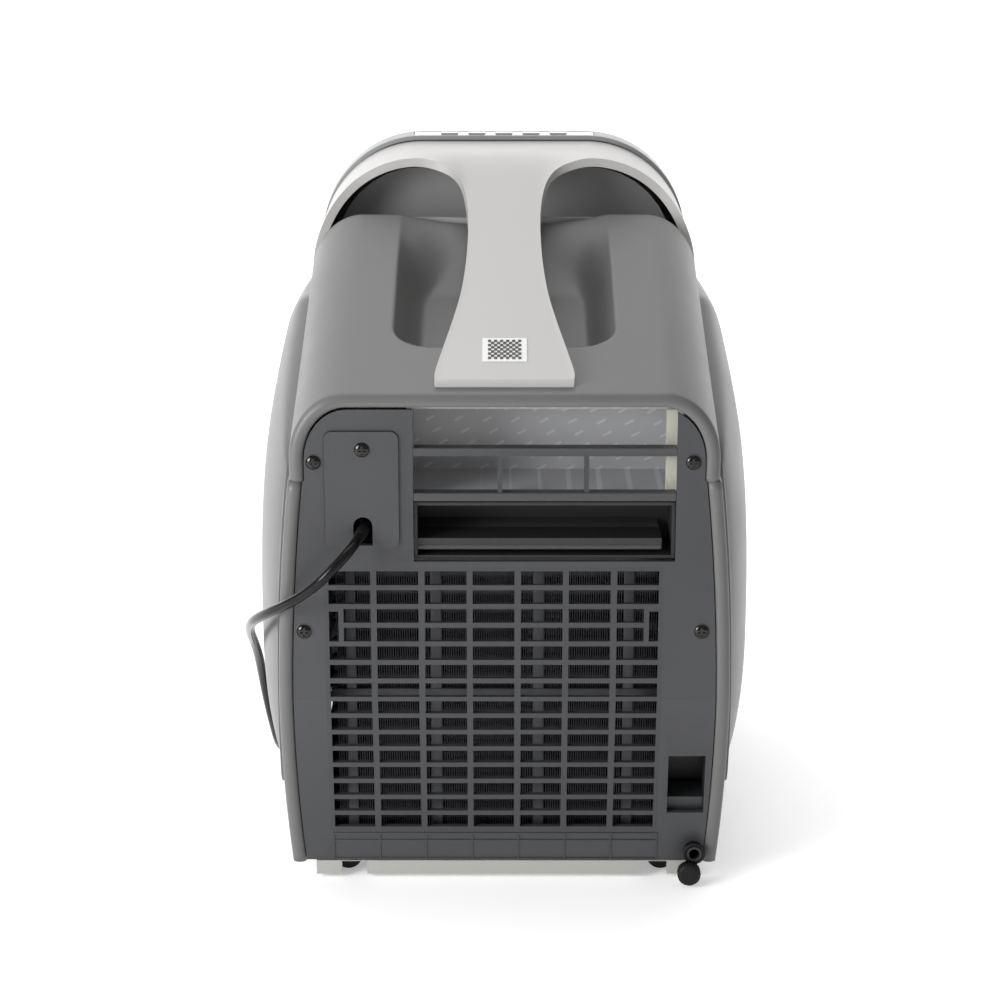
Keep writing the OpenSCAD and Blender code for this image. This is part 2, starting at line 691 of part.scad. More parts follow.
pan_x = 124;
pan_y = [rear_y + tuck + 1, hoop_y1];
notch_half = 8.3;                   // the pan's rear edge is notched behind each rear wheel
well_r = 18;
pan_low = 3;
// caster number: [swivel x, swivel y, heading of the trail in degrees]
caster_x = 104;
rear_caster_y = rear_y + 44;
front_caster_y = front_y - 48;
casters = [[-caster_x + trail, rear_caster_y, 180], [caster_x - trail, rear_caster_y, 0],
    [-caster_x + trail, front_caster_y, 90], [caster_x - trail, front_caster_y, 90]];
fork_top = 2 * wheel_r + 3;
stem_r = 3;
module base_pan() {
    plate_x = side_w(ground_gap) - wall - 1;
    color("#e4e3dc") difference() {
        union() {
            difference() {
                box([-pan_x, pan_y[0], pan_low], [pan_x, pan_y[1], plate_z + 0.4]);
                box([-pan_x + 3, pan_y[0] + 3, pan_low - 1], [pan_x - 3, pan_y[1] - 3, plate_z]);
                for (c = [casters[0], casters[1]]) box([c[0] - notch_half, pan_y[0] - 1, 0],
                    [c[0] + notch_half, pan_y[0] + 4, plate_z]);
            }
            box([-plate_x, rear_y + tuck + 8, plate_z], [plate_x, front_joint_y - 6, plate_z + plate_t]);
            box([-plate_x + 4, front_joint_y - 7, plate_z], [plate_x - 4, pan_y[1], plate_z + plate_t]);
            intersection() {
                box([-pan_x, rear_y + 34, pan_low], [pan_x, pan_y[1], pan_low + 24]);
                for (c = casters) translate([c[0], c[1], pan_low])
                    cylinder(r = well_r + 2, h = 24, $fn = 48);
            }
        }
        for (c = casters) {
            translate([c[0], c[1], pan_low - 1]) cylinder(r = well_r, h = fork_top + 0.4 - pan_low + 1, $fn = 48);
            translate([c[0], c[1], 0]) cylinder(r = stem_r + running, h = 60, $fn = 32);
        }
    }
}
module caster_fork(i) {
    c = casters[i - 1];
    ear = 1.6;
    color("#2a2a2c") translate([c[0], c[1], 0]) rotate([0, 0, c[2]]) {
        translate([0, 0, fork_top - 2.5]) cylinder(r = 9.5, h = 2.5, $fn = 48);
        translate([0, 0, fork_top - eps]) cylinder(r = stem_r, h = 7, $fn = 32);
        for (s = [-1, 1]) translate([trail - 4, s * (wheel_w / 2 + gap + ear / 2) - ear / 2, wheel_r - 3.5])
            cube([8, ear, fork_top - 1 - wheel_r + 3.5]);
        rod_y(1.5, -wheel_w / 2 - gap - ear + 0.1, wheel_w / 2 + gap + ear - 0.1, trail, wheel_r);
    }
}
module caster_wheel(i) {
    c = casters[i - 1];
    color("#3a3a3c") translate([c[0], c[1], 0]) rotate([0, 0, c[2]]) difference() {
        rod_y(wheel_r, -wheel_w / 2, wheel_w / 2, trail, wheel_r);
        rod_y(1.5 + running, -wheel_w, wheel_w, trail, wheel_r);
    }
}

// ---- Power cord ------------------------------------------------------------------------

// The lead leaves the notch, wraps round the side cover at the rear left and drops to the floor
// in front of the cover's widest part; the rest lies coiled in front of the unit.
cord_route = [
    [-94, -207, 243], [-98, -212, 239], [-105, -214, 232], [-114, -212, 223], [-125, -206, 213],
    [-137, -196, 203], [-150, -180, 192], [-160, -158, 180], [-166, -132, 167], [-169, -104, 152],
    [-170, -76, 136], [-170, -50, 117], [-170, -26, 94], [-169, -6, 68], [-167, 12, 42],
    [-165, 30, 20], [-163, 52, 7], [-161, 76, 3.5], [-158, 106, 3.5], [-150, 140, 3.5],
    [-134, 172, 3.5], [-110, 196, 3.5], [-82, 210, 3.5], [-56, 211, 3.5]
];
coil_center = [-40, 252];
coil_mid_r = 36;
// From the coil's top to the plug
cord_tail = [[-44, 213, 8.9], [-24, 215, 8.6], [-8, 216, 8.2], [14.5, 216, 8.1]];
cord_sides = 8;
gland_root = [notch_x + 1.5, rear_y + 10, 249];
function unit(v) = v / norm(v);
function tangent(path, i) = unit(path[min(i + 1, len(path) - 1)] - path[max(i - 1, 0)]);
// Points between the chosen ones, by a Catmull-Rom curve
function curve_point(p, i, t) = let (
        a = p[max(i - 1, 0)], b = p[i], c = p[min(i + 1, len(p) - 1)], d = p[min(i + 2, len(p) - 1)])
    0.5 * (2 * b + (c - a) * t + (2 * a - 5 * b + 4 * c - d) * t * t + (3 * b - a - 3 * c + d) * t * t * t);
function smooth_path(p, n) = concat(
    [for (i = [0:len(p) - 2], k = [0:n - 1]) curve_point(p, i, k / n)], [p[len(p) - 1]]);
function tube_ring(path, i, r) = let (t = tangent(path, i), side = unit(cross(t, [0.02, 0.03, 1])),
        up = cross(side, t))
    [for (k = [0:cord_sides - 1]) let (a = 360 * k / cord_sides)
        path[i] + r * (cos(a) * side + sin(a) * up)];
module power_cord() {
    for (route = [cord_route, cord_tail]) {
        path = smooth_path(route, 2);
        color("#161616") skin([for (i = [len(path) - 1:-1:0]) tube_ring(path, i, cord_d / 2)]);
    }
}
module cord_coil() {
    r0 = coil_mid_r - 1.6 * cord_d;
    r1 = coil_mid_r + 1.6 * cord_d;
    color("#161616") translate([coil_center[0], coil_center[1], 0.1])
        rotate_extrude($fn = 64) translate([r0, 0]) square([r1 - r0, 1.9 * cord_d]);
}
module power_plug() {
    // lies beside the coil, its pins away from the lead
    color("#1b1b1b") translate([coil_center[0] + 64, coil_center[1] - 36, 0.1]) {
        translate([0, 0, 8]) rotate([0, 90, 0]) cylinder(r = 8, h = 30, $fn = 48);
        translate([-10, 0, 8]) rotate([0, 90, 0]) cylinder(r1 = 4, r2 = 8, h = 10, $fn = 48);
        translate([29, 0, 8]) for (s = [-1, 1]) rotate([0, 90, 0]) translate([0, s * 4.5, 0])
            cylinder(r = 1.8, h = 18, $fn = 24);
    }
}
module cord_gland() {
    aim = cord_route[0] - gland_root;
    long = norm(aim);
    color("#161616") translate(gland_root)
        rotate([0, acos(aim[2] / long), atan2(aim[1], aim[0])])
            cylinder(r1 = cord_d / 2 + 1.6, r2 = cord_d / 2 + 0.3, h = long, $fn = 48);
}

base_pan();
lower_shell();
upper_shell();
front_panel();
side_cover(-1);  // side_cover_left
side_cover(1);  // side_cover_right
handle();
handle_liner();
handle_label();
rear_panel();
rear_panel_lower();
intake_grille_upper();
intake_grille_lower();
cord_cover();
panel_screws();
outlet_grille();
outlet_duct();
outlet_tray();
foam_seal();
pocket_liner();
pocket_bracket();
display_panel();
button(-2);  // power_button
button(-1);  // mode_button
button(0);  // fan_button
button(1);  // up_button
button(2);  // down_button
control_board();
louver_frame();
louver(1);  // louver_1
louver(2);  // louver_2
louver(3);  // louver_3
louver(4);  // louver_4
louver(5);  // louver_5
condenser_coil();
evaporator_coil();
refrigerant_pipes();
compressor();
compressor_feet();
exhaust_scroll();
exhaust_wheel();
exhaust_motor();
cool_wheel();
cool_motor();
drain_pan();
drain_nozzle();
drain_cap();
electrics();
caster_fork(1);  // caster_fork_1
caster_fork(2);  // caster_fork_2
caster_fork(3);  // caster_fork_3
caster_fork(4);  // caster_fork_4
caster_wheel(1);  // caster_wheel_1
caster_wheel(2);  // caster_wheel_2
caster_wheel(3);  // caster_wheel_3
caster_wheel(4);  // caster_wheel_4
cord_gland();
power_cord();
cord_coil();
power_plug();
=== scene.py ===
"""Looks of a compact dehumidifier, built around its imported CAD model.
"""

import math

import bmesh
import bpy
import numpy as np
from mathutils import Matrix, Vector


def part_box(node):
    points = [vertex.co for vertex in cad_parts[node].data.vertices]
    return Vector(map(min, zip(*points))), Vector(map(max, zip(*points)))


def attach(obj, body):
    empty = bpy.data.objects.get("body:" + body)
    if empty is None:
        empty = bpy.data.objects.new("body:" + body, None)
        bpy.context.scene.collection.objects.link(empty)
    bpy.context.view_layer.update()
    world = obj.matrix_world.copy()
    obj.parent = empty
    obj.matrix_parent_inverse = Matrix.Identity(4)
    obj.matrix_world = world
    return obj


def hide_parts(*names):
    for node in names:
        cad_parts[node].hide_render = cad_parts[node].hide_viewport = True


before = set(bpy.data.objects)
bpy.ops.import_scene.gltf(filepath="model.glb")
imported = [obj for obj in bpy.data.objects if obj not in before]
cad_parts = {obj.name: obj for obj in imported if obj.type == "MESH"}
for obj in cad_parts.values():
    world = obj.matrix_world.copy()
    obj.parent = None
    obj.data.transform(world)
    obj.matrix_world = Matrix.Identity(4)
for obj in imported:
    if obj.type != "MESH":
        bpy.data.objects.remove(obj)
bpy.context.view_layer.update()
HOUSING = "housing"
MM = 0.001

# ---- Driving sizes, mostly as in the CAD model (millimetres) ----------------------------------

BODY_D, BODY_W, BELLY = 372, 268, 10
BODY_H, RIM_H, CREST_H, CREST_RUN = 446, 335, 408, 240
SEAM_H, GROUND_GAP, KINK_H, TUCK = 280, 12, 135, 24
RIM_W, WALL, GAP, LIP_T, RIM_R = 9, 3, 0.3, 1, 4
SHELL_T = 2.4
HOOP_T, GRIP_T, GRIP_W = 6, 14, 49
POD_BULGE = 20
BELLY_H, BELLY_RUN = 120, 170
RIM_CORNER, HOOP_CORNER = (36, 42), (74, 76)
REAR_Y, FRONT_Y = -BODY_D / 2, BODY_D / 2
CREST_Y = REAR_Y + CREST_RUN
HOOP_Y1 = FRONT_Y - 32
FRONT_JOINT_Y = FRONT_Y - 82
SLOPE = (CREST_H - RIM_H) / CREST_RUN


def side_w(z):
    """Half-width of the barrel-shaped shells at height z."""
    if z > BELLY_H:
        return BODY_W / 2 + BELLY * (1 - min(1, (z - BELLY_H) / BELLY_RUN) ** 2)
    return BODY_W / 2 + BELLY - 0.55 * BELLY * ((BELLY_H - z) / BELLY_H) ** 2


def rear_at(z):
    """Y of the rear face at height z."""
    return REAR_Y + max(0, KINK_H - z) * TUCK / (KINK_H - GROUND_GAP)


def slope_z(y):
    """Height of the shell's sloping top, from the rear rim up to the crest."""
    return RIM_H + (y - REAR_Y) * SLOPE


def smooth(a, b, x):
    """0 up to a, 1 from b on, eased between them."""
    t = min(1, max(0, (x - a) / (b - a)))
    return t * t * (3 - 2 * t)


# ---- Camera, floor and light -----------------------------------------------------------------

CAMERA_X, CAMERA_BEHIND, CAMERA_Z, CAMERA_DOWN = -0.0029, 1.491, 0.710, 16.5
WORLD_LIGHT, BACKDROP_GLOW, FLOOR_GLOW = 0.38, 1.0, 0.34


def make_camera():
    """Behind the unit and above it, looking slightly down."""
    data = bpy.data.cameras.new("camera")
    data.lens, data.sensor_width = 90, 36
    cam = bpy.data.objects.new("camera", data)
    cam.location = (CAMERA_X, REAR_Y * MM - CAMERA_BEHIND, CAMERA_Z)
    cam.rotation_euler = (math.radians(90 - CAMERA_DOWN), 0, 0)
    bpy.context.collection.objects.link(cam)
    bpy.context.scene.camera = cam


def area_light(name, place, target, size, power):
    """A round lamp at a place, turned towards the target."""
    data = bpy.data.lights.new(name, "AREA")
    data.shape, data.size, data.energy = "DISK", size, power
    lamp = bpy.data.objects.new(name, data)
    lamp.location = place
    lamp.rotation_euler = (Vector(target) - Vector(place)).to_track_quat("-Z", "Y").to_euler()
    bpy.context.collection.objects.link(lamp)


def stage_plane(name, size, place, tilt, glow):
    """A plane that isn't part of the object; returns its shader."""
    bpy.ops.mesh.primitive_plane_add(size=size, location=place, rotation=(tilt, 0, 0))
    plane = bpy.context.object
    plane.name = name
    mat = bpy.data.materials.new(name)
    mat.use_nodes = True
    surface = mat.node_tree.nodes["Principled BSDF"]
    surface.inputs["Emission Color"].default_value = (1, 1, 1, 1)
    surface.inputs["Emission Strength"].default_value = glow
    plane.data.materials.append(mat)
    return surface


def make_studio():
    world = bpy.data.worlds.new("studio")
    world.use_nodes = True
    back = world.node_tree.nodes["Background"]
    back.inputs["Color"].default_value = (1, 1, 1, 1)
    back.inputs["Strength"].default_value = WORLD_LIGHT
    bpy.context.scene.world = world
    bpy.context.scene.view_settings.view_transform = "Standard"
    area_light("key", (-2.3, -1.7, 1.3), (0, 0, 0.25), 2.0, 46)
    area_light("near", (-0.85, -0.85, 0.5), (0, -0.1, 0.2), 0.5, 5.5)
    area_light("top", (-0.3, 0.4, 2.6), (0, 0, 0.3), 1.8, 20)
    floor = stage_plane("studio_floor", 60, (0, 0, 0), 0, FLOOR_GLOW)
    floor.inputs["Base Color"].default_value = (0.95, 0.95, 0.95, 1)
    floor.inputs["Roughness"].default_value = 0.7
    stage_plane("studio_backdrop", 9, (0, 3.4, 2.4), math.pi / 2, BACKDROP_GLOW)


# ---- Materials -------------------------------------------------------------------------------

def node(tree, kind, **inputs):
    """A new shader node with some of its inputs set."""
    made = tree.nodes.new(kind)
    for key, value in inputs.items():
        made.inputs[key.replace("_", " ")].default_value = value
    return made


def material(name, colour, rough=0.45, metallic=0.0, grain=900, bump=0.12, mottle=0.05,
             coat=0.0, wear_and_highlight=0.0, rough_spread=0.08, specular=0.5):
    """Moulded or rolled surface.

    Fine grain in its bump, slow mottling in its colour and roughness, paler sharp edges that are part
    wear and part painted highlight.
    """
    mat = bpy.data.materials.new(name)
    mat.use_nodes = True
    tree = mat.node_tree
    link = tree.links.new
    shader = tree.nodes["Principled BSDF"]
    shader.inputs["Metallic"].default_value = metallic
    shader.inputs["Coat Weight"].default_value = coat
    shader.inputs["Specular IOR Level"].default_value = specular
    place = tree.nodes.new("ShaderNodeTexCoord").outputs["Object"]
    slow = node(tree, "ShaderNodeTexNoise", Scale=14.0, Detail=3.0, Roughness=0.6)
    link(place, slow.inputs["Vector"])
    tint = node(tree, "ShaderNodeMapRange", To_Min=1 - mottle, To_Max=1 + mottle)
    link(slow.outputs["Fac"], tint.inputs["Value"])
    base = tree.nodes.new("ShaderNodeVectorMath")
    base.operation = "SCALE"
    base.inputs[0].default_value = colour
    link(tint.outputs["Result"], base.inputs["Scale"])
    result = base.outputs["Vector"]
    if wear_and_highlight:
        # Paler colour on sharp edges, found by pointiness: part edge wear, part painted highlight.
        edge = node(tree, "ShaderNodeMapRange", From_Min=0.52, From_Max=0.62, To_Max=wear_and_highlight)
        link(tree.nodes.new("ShaderNodeNewGeometry").outputs["Pointiness"], edge.inputs["Value"])
        worn_and_lit = tree.nodes.new("ShaderNodeMix")
        worn_and_lit.data_type = "RGBA"
        link(edge.outputs["Result"], worn_and_lit.inputs["Factor"])
        link(result, worn_and_lit.inputs["A"])
        worn_and_lit.inputs["B"].default_value = (*[min(1, c * 1.7 + 0.03) for c in colour], 1)
        result = worn_and_lit.outputs["Result"]
    link(result, shader.inputs["Base Color"])
    roughness = node(tree, "ShaderNodeMapRange", To_Min=rough - rough_spread, To_Max=rough + rough_spread)
    link(slow.outputs["Fac"], roughness.inputs["Value"])
    link(roughness.outputs["Result"], shader.inputs["Roughness"])
    fine = node(tree, "ShaderNodeTexNoise", Scale=float(grain), Detail=2.0, Roughness=0.5)
    link(place, fine.inputs["Vector"])
    relief = node(tree, "ShaderNodeBump", Strength=bump, Distance=0.0004)
    link(fine.outputs["Fac"], relief.inputs["Height"])
    link(relief.outputs["Normal"], shader.inputs["Normal"])
    return mat


# The wear amount pales the sharp edges: part wear, part painted highlight.
SHELL = material("shell_plastic", (0.125, 0.124, 0.123), rough=0.38, wear_and_highlight=0.1, specular=0.35)
COVER = material("cover_plastic", (0.13, 0.131, 0.133), rough=0.34, wear_and_highlight=0.1, specular=0.4)
PANEL = material("panel_plastic", (0.034, 0.035, 0.038), rough=0.42, wear_and_highlight=0.2, specular=0.5)
RECESS = material("recess_plastic", (0.3, 0.3, 0.3), rough=0.5, wear_and_highlight=0.05)
FRONT = material("front_plastic", (0.26, 0.262, 0.266), rough=0.34, wear_and_highlight=0.08)
LINER = material("liner_plastic", (0.02, 0.02, 0.021), rough=0.5, wear_and_highlight=0.1, specular=0.3)
DARK = material("shadow_plastic", (0.018, 0.018, 0.019), rough=0.5)
LIGHT = material("handle_plastic", (0.44, 0.432, 0.424), rough=0.36, bump=0.06, mottle=0.02)
CREAM = material("cream_plastic", (0.37, 0.368, 0.352), rough=0.42, mottle=0.03)
DISPLAY = material("display_plastic", (0.29, 0.295, 0.325), rough=0.16, bump=0.02, coat=0.4)
STEEL = material("bracket_steel", (0.5, 0.5, 0.52), rough=0.32, metallic=1.0, grain=300)
BRACKET = material("bracket_zinc", (0.05, 0.052, 0.056), rough=0.42, metallic=0.6, grain=300)
SCREW = material("screw_steel", (0.03, 0.029, 0.028), rough=0.12, metallic=1.0, grain=300,
                 rough_spread=0.03, coat=0.3)
FOAM = material("foam", (0.5, 0.49, 0.42), rough=0.9, grain=420, bump=0.9, mottle=0.1)
FIN = material("fin_aluminium", (0.07, 0.071, 0.075), rough=0.45, metallic=0.5, grain=260)
RIB = material("coil_frame", (0.055, 0.056, 0.062), rough=0.45, metallic=0.3, grain=260)
COPPER = material("copper_tube", (0.6, 0.32, 0.18), rough=0.3, metallic=1.0, grain=200)
ENAMEL = material("black_enamel", (0.02, 0.02, 0.022), rough=0.25, coat=0.5)
ZINC = material("zinc_plate", (0.4, 0.41, 0.42), rough=0.35, metallic=1.0, grain=160, mottle=0.15)
FAN = material("fan_plastic", (0.05, 0.052, 0.055), rough=0.45)
BOARD = material("board_mask", (0.03, 0.16, 0.07), rough=0.35, mottle=0.2)
RUBBER = material("rubber", (0.008, 0.008, 0.008), rough=0.45, grain=1400, bump=0.2, specular=0.2)
CORD = material("cord_jacket", (0.006, 0.006, 0.0065), rough=0.16, grain=700, bump=0.03, specular=0.2)
PLUG = material("plug_plastic", (0.016, 0.016, 0.017), rough=0.4, grain=1200, bump=0.2)


DASH_TURN, DASH_FAINT = math.radians(28), 0.35


def duct_material():
    """Silver-grey duct sheet with rows of faint generic dashes."""
    mat = material("duct_sheet", (0.46, 0.463, 0.472), rough=0.4, metallic=0.1, grain=120, mottle=0.03)
    tree = mat.node_tree
    link = tree.links.new
    shader = tree.nodes["Principled BSDF"]
    source = shader.inputs["Base Color"].links[0].from_socket
    place = tree.nodes.new("ShaderNodeTexCoord").outputs["Object"]
    turned = node(tree, "ShaderNodeMapping", Rotation=(0, DASH_TURN, 0))
    link(place, turned.inputs["Vector"])
    parts = tree.nodes.new("ShaderNodeSeparateXYZ")
    link(turned.outputs["Vector"], parts.inputs["Vector"])

    def math_node(operation, first, second):
        """second is a number or a socket; None where the operation takes one value."""
        made = tree.nodes.new("ShaderNodeMath")
        made.operation = operation
        link(first, made.inputs[0])
        if isinstance(second, (int, float)):
            made.inputs[1].default_value = second
        elif second is not None:
            link(second, made.inputs[1])
        return made.outputs[0]

    def waves(socket, pitch, low):
        """1 inside a band that repeats every pitch, else 0."""
        wave = math_node("SINE", math_node("MULTIPLY", socket, 2 * math.pi / pitch), None)
        return math_node("GREATER_THAN", wave, low)

    across = waves(parts.outputs["X"], 0.016, 0.35)
    down = waves(parts.outputs["Z"], 0.009, 0.86)
    both = math_node("MULTIPLY", across, down)
    mix = tree.nodes.new("ShaderNodeMix")
    mix.data_type = "RGBA"
    link(math_node("MULTIPLY", both, DASH_FAINT), mix.inputs["Factor"])
    link(source, mix.inputs["A"])
    mix.inputs["B"].default_value = (0.86, 0.87, 0.88, 1)
    link(mix.outputs["Result"], shader.inputs["Base Color"])
    return mat


DUCT = duct_material()
LABEL = material("label_film", (0.72, 0.72, 0.71), rough=0.3, bump=0.02, mottle=0.01)
INK = material("label_ink", (0.02, 0.02, 0.02), rough=0.5, bump=0.02)


# ---- Mesh helpers ----------------------------------------------------------------------------

def piece(name, points, faces, mat, slot, body=HOUSING, stands_for=(), flat=False):
    """A new mesh piece. points are in millimetres."""
    mesh = bpy.data.meshes.new(name)
    mesh.from_pydata([tuple(c * MM for c in p) for p in points], [], faces)
    mesh.validate()
    shape = bmesh.new()
    shape.from_mesh(mesh)
    bmesh.ops.remove_doubles(shape, verts=shape.verts, dist=1e-6)
    bmesh.ops.recalc_face_normals(shape, faces=shape.faces)
    shape.to_mesh(mesh)
    shape.free()
    made = bpy.data.objects.new(name, mesh)
    bpy.context.collection.objects.link(made)
    mesh.materials.append(mat)
    for poly in mesh.polygons:
        poly.use_smooth = not flat
    finish_piece(made, body, stands_for)
    return made


def finish_piece(made, body=HOUSING, stands_for=()):
    """Say which body the piece rides, and hide the CAD nodes that it stands for."""
    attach(made, body)
    if stands_for:
        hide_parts(*stands_for)


def bevel(made, width, segments=3, angle=35):
    """Rounded edges, width in millimetres."""
    mod = made.modifiers.new("edges", "BEVEL")
    mod.width, mod.segments = width * MM, segments
    mod.limit_method, mod.angle_limit = "ANGLE", math.radians(angle)


def apply_modifiers(made):
    """Keep the mesh as its modifiers leave it, and drop them."""
    bpy.context.view_layer.update()
    graph = bpy.context.evaluated_depsgraph_get()
    mesh = bpy.data.meshes.new_from_object(made.evaluated_get(graph))
    made.modifiers.clear()
    made.data = mesh


def shade_by_angle(made, angle=35):
    """Smooth shading with sharp edges past an angle, kept in the mesh itself."""
    shape = bmesh.new()
    shape.from_mesh(made.data)
    for edge in shape.edges:
        if len(edge.link_faces) == 2:
            edge.smooth = edge.calc_face_angle(0) < math.radians(angle)
    shape.to_mesh(made.data)
    shape.free()


def flatten(rows):
    return [p for row in rows for p in row]


def grid_faces(rows, cols, closed=False):
    """Faces of a grid of points, row by row; closed joins each row's ends."""
    faces = []
    for i in range(rows - 1):
        for k in range(cols - (0 if closed else 1)):
            a = i * cols + k
            b = i * cols + (k + 1) % cols
            faces.append((a, b, b + cols, a + cols))
    return faces


def ring_faces(n):
    """Faces between two loops of n points each."""
    return [(k, (k + 1) % n, n + (k + 1) % n, n + k) for k in range(n)]


def box_faces(k):
    """Faces of a box whose corners start at point k, ordered by their first, second and third place."""
    return [(k, k + 1, k + 3, k + 2), (k + 4, k + 6, k + 7, k + 5), (k, k + 4, k + 5, k + 1),
            (k + 2, k + 3, k + 7, k + 6), (k, k + 2, k + 6, k + 4), (k + 1, k + 5, k + 7, k + 3)]


def add_block(points, faces, low, high):
    """Append a box to a list of points and faces."""
    faces.extend(box_faces(len(points)))
    points.extend((x, y, z) for x in (low[0], high[0]) for y in (low[1], high[1])
                  for z in (low[2], high[2]))


def sheet_piece(name, rows, mat, slot, thickness, **kw):
    """A piece from a grid of points, thickened inwards."""
    made = piece(name, flatten(rows), grid_faces(len(rows), len(rows[0])), mat, slot, **kw)
    mod = made.modifiers.new("wall", "SOLIDIFY")
    mod.thickness, mod.offset = thickness * MM, -1
    mod.use_even_offset = True


def quarter(n, first=0):
    """Angles of a quarter turn in n steps, from step number first."""
    return [math.pi / 2 * k / n for k in range(first, n + 1)]


def half_arch(w, top, a, b, z0, n):
    """Left half of an arch from height z0 up, its corner an ellipse of radii a and b."""
    arc = quarter(n)
    return [(-w, z0)] + [(-(w - a) - a * math.cos(t), top - b + b * math.sin(t)) for t in arc]


def arch(w, top, a, b, z0, n, side_steps, top_steps):
    """Arch outline with evenly split straight stretches."""
    left = half_arch(w, top, a, b, z0, n)
    first, corner = left[0], left[1]
    lift = [(first[0], first[1] + (corner[1] - first[1]) * k / side_steps) for k in range(side_steps)]
    left = lift + left[1:]
    end = left[-1][0]
    flat = [(end * (1 - 2 * k / top_steps), top) for k in range(1, top_steps)]
    right = [(-x, z) for x, z in reversed(left)]
    return left + flat + right


# ---- Power cord ------------------------------------------------------------------------------

CORD_D = 6.5
CORD_ROUTE = [
    (-90.6, -191.9, 245.9), (-93.5, -200.1, 243.3), (-98.1, -206.7, 238.9),
    (-104, -210.9, 233.3), (-110.4, -212.3, 227), (-116.6, -210.6, 220.7), (-126.4, -204.6, 211.6),
    (-137, -196, 203), (-150, -180, 192), (-160, -158, 180), (-166, -132, 167), (-169, -104, 152),
    (-170, -76, 136), (-170, -50, 117), (-170, -26, 94), (-169, -6, 68), (-167, 12, 42),
    (-165, 30, 20), (-163, 52, 7), (-161, 76, 3.5), (-158, 106, 3.5), (-150, 140, 3.5),
    (-134, 172, 3.5), (-110, 196, 3.5), (-82, 210, 3.5), (-56, 211, 3.5),
]
CORD_TAIL = [(-33, 211.9, 8.8), (-20, 211.9, 8.5), (-6, 213.8, 8.3), (5, 215.3, 8.2), (14, 216, 8.1)]
COIL_CENTRE, COIL_MID_R = (-40, 252), 36
TURNS_LOW, TURNS_HIGH = 2.75, 2.25
GLAND_ROOT = (-87, REAR_Y + 10, 249)


def catmull(points, steps):
    """Points of a smooth curve through the given ones."""
    pts = [np.array(p, float) for p in points]
    out = []
    for i in range(len(pts) - 1):
        a, b, c, d = pts[max(i - 1, 0)], pts[i], pts[i + 1], pts[min(i + 2, len(pts) - 1)]
        for k in range(steps):
            t = k / steps
            out.append(0.5 * (2 * b + (c - a) * t + (2 * a - 5 * b + 4 * c - d) * t ** 2
                              + (3 * b - a - 3 * c + d) * t ** 3))
    return out + [pts[-1]]


def coil_points():
    """Two layers of turns: inwards on the floor, then outwards on top, and off towards the plug."""
    low, pitch = CORD_D / 2 + 0.15, CORD_D + 0.1
    start, first_r = math.radians(-96), COIL_MID_R + pitch
    points = []
    steps = 36
    for k in range(1, int((TURNS_LOW + TURNS_HIGH) * steps) + 1):
        turn = k / steps
        if turn <= TURNS_LOW:
            radius = first_r - 2 * pitch * min(1, turn / (TURNS_LOW - 0.4))
            height = low + 0.86 * CORD_D * smooth(TURNS_LOW - 0.4, TURNS_LOW, turn)
        else:
            radius = first_r - 1.5 * pitch + pitch * (turn - TURNS_LOW) / TURNS_HIGH
            radius -= 0.5 * pitch * (1 - smooth(0, 0.35, turn - TURNS_LOW))
            height = low + 0.86 * CORD_D
        angle = start + 2 * math.pi * turn
        points.append((COIL_CENTRE[0] + radius * math.cos(angle),
                       COIL_CENTRE[1] + radius * math.sin(angle), height))
    return points


def make_cord():
    relief_dir = np.array(CORD_ROUTE[0], float) - np.array(GLAND_ROOT, float)
    in_relief = [tuple(np.array(GLAND_ROOT) + relief_dir * share) for share in (0.2, 0.6)]
    coil = coil_points()
    path = catmull(in_relief + CORD_ROUTE, 6)
    path += catmull(coil, 1) + catmull(coil[-1:] + CORD_TAIL, 6)[1:]
    path = [tuple(p) for p in path]
    curve = bpy.data.curves.new("power_cord_look", "CURVE")
    curve.dimensions = "3D"
    curve.bevel_depth, curve.bevel_resolution = CORD_D / 2 * MM, 5
    spline = curve.splines.new("POLY")
    spline.points.add(len(path) - 1)
    for point, place in zip(spline.points, path):
        point.co = (*[c * MM for c in place], 1)
    curve.materials.append(CORD)
    cord = bpy.data.objects.new("power_cord_look", curve)
    bpy.context.collection.objects.link(cord)
    finish_piece(cord, stands_for=["power_cord", "cord_coil"])
    tie = make_tie()
    relief = make_strain_relief(relief_dir)
    plug = make_plug()


def revolve(profile, axis_start, axis_dir, steps=48, name="turned", **kw):
    """A turned piece: profile is a list of (distance along the axis, radius)."""
    axis = Vector(axis_dir).normalized()
    side = axis.orthogonal().normalized()
    up = axis.cross(side)
    rows = []
    for d, r in profile:
        centre = Vector(axis_start) + axis * d
        rows.append([tuple(centre + side * (r * math.cos(2 * math.pi * k / steps))
                           + up * (r * math.sin(2 * math.pi * k / steps))) for k in range(steps)])
    points = flatten(rows)
    faces = grid_faces(len(rows), steps, closed=True)
    faces.append(tuple(range(steps))[::-1])
    faces.append(tuple((len(rows) - 1) * steps + k for k in range(steps)))
    made = piece(name, points, faces, **kw)
    shade_by_angle(made, 40)
    return made


def make_strain_relief(direction):
    """Short tapered sleeve where the lead leaves the panel."""
    long = np.linalg.norm(direction)
    root, tip = CORD_D / 2 + 1.0, CORD_D / 2 + 0.3
    profile = [(0, root), (long * 0.5, (root + tip) / 2), (long - 0.4, tip), (long, tip - 0.2)]
    return revolve(profile, GLAND_ROOT, tuple(direction), name="strain_relief_look", mat=RUBBER,
                   slot="rubber_black", stands_for=["cord_gland"])


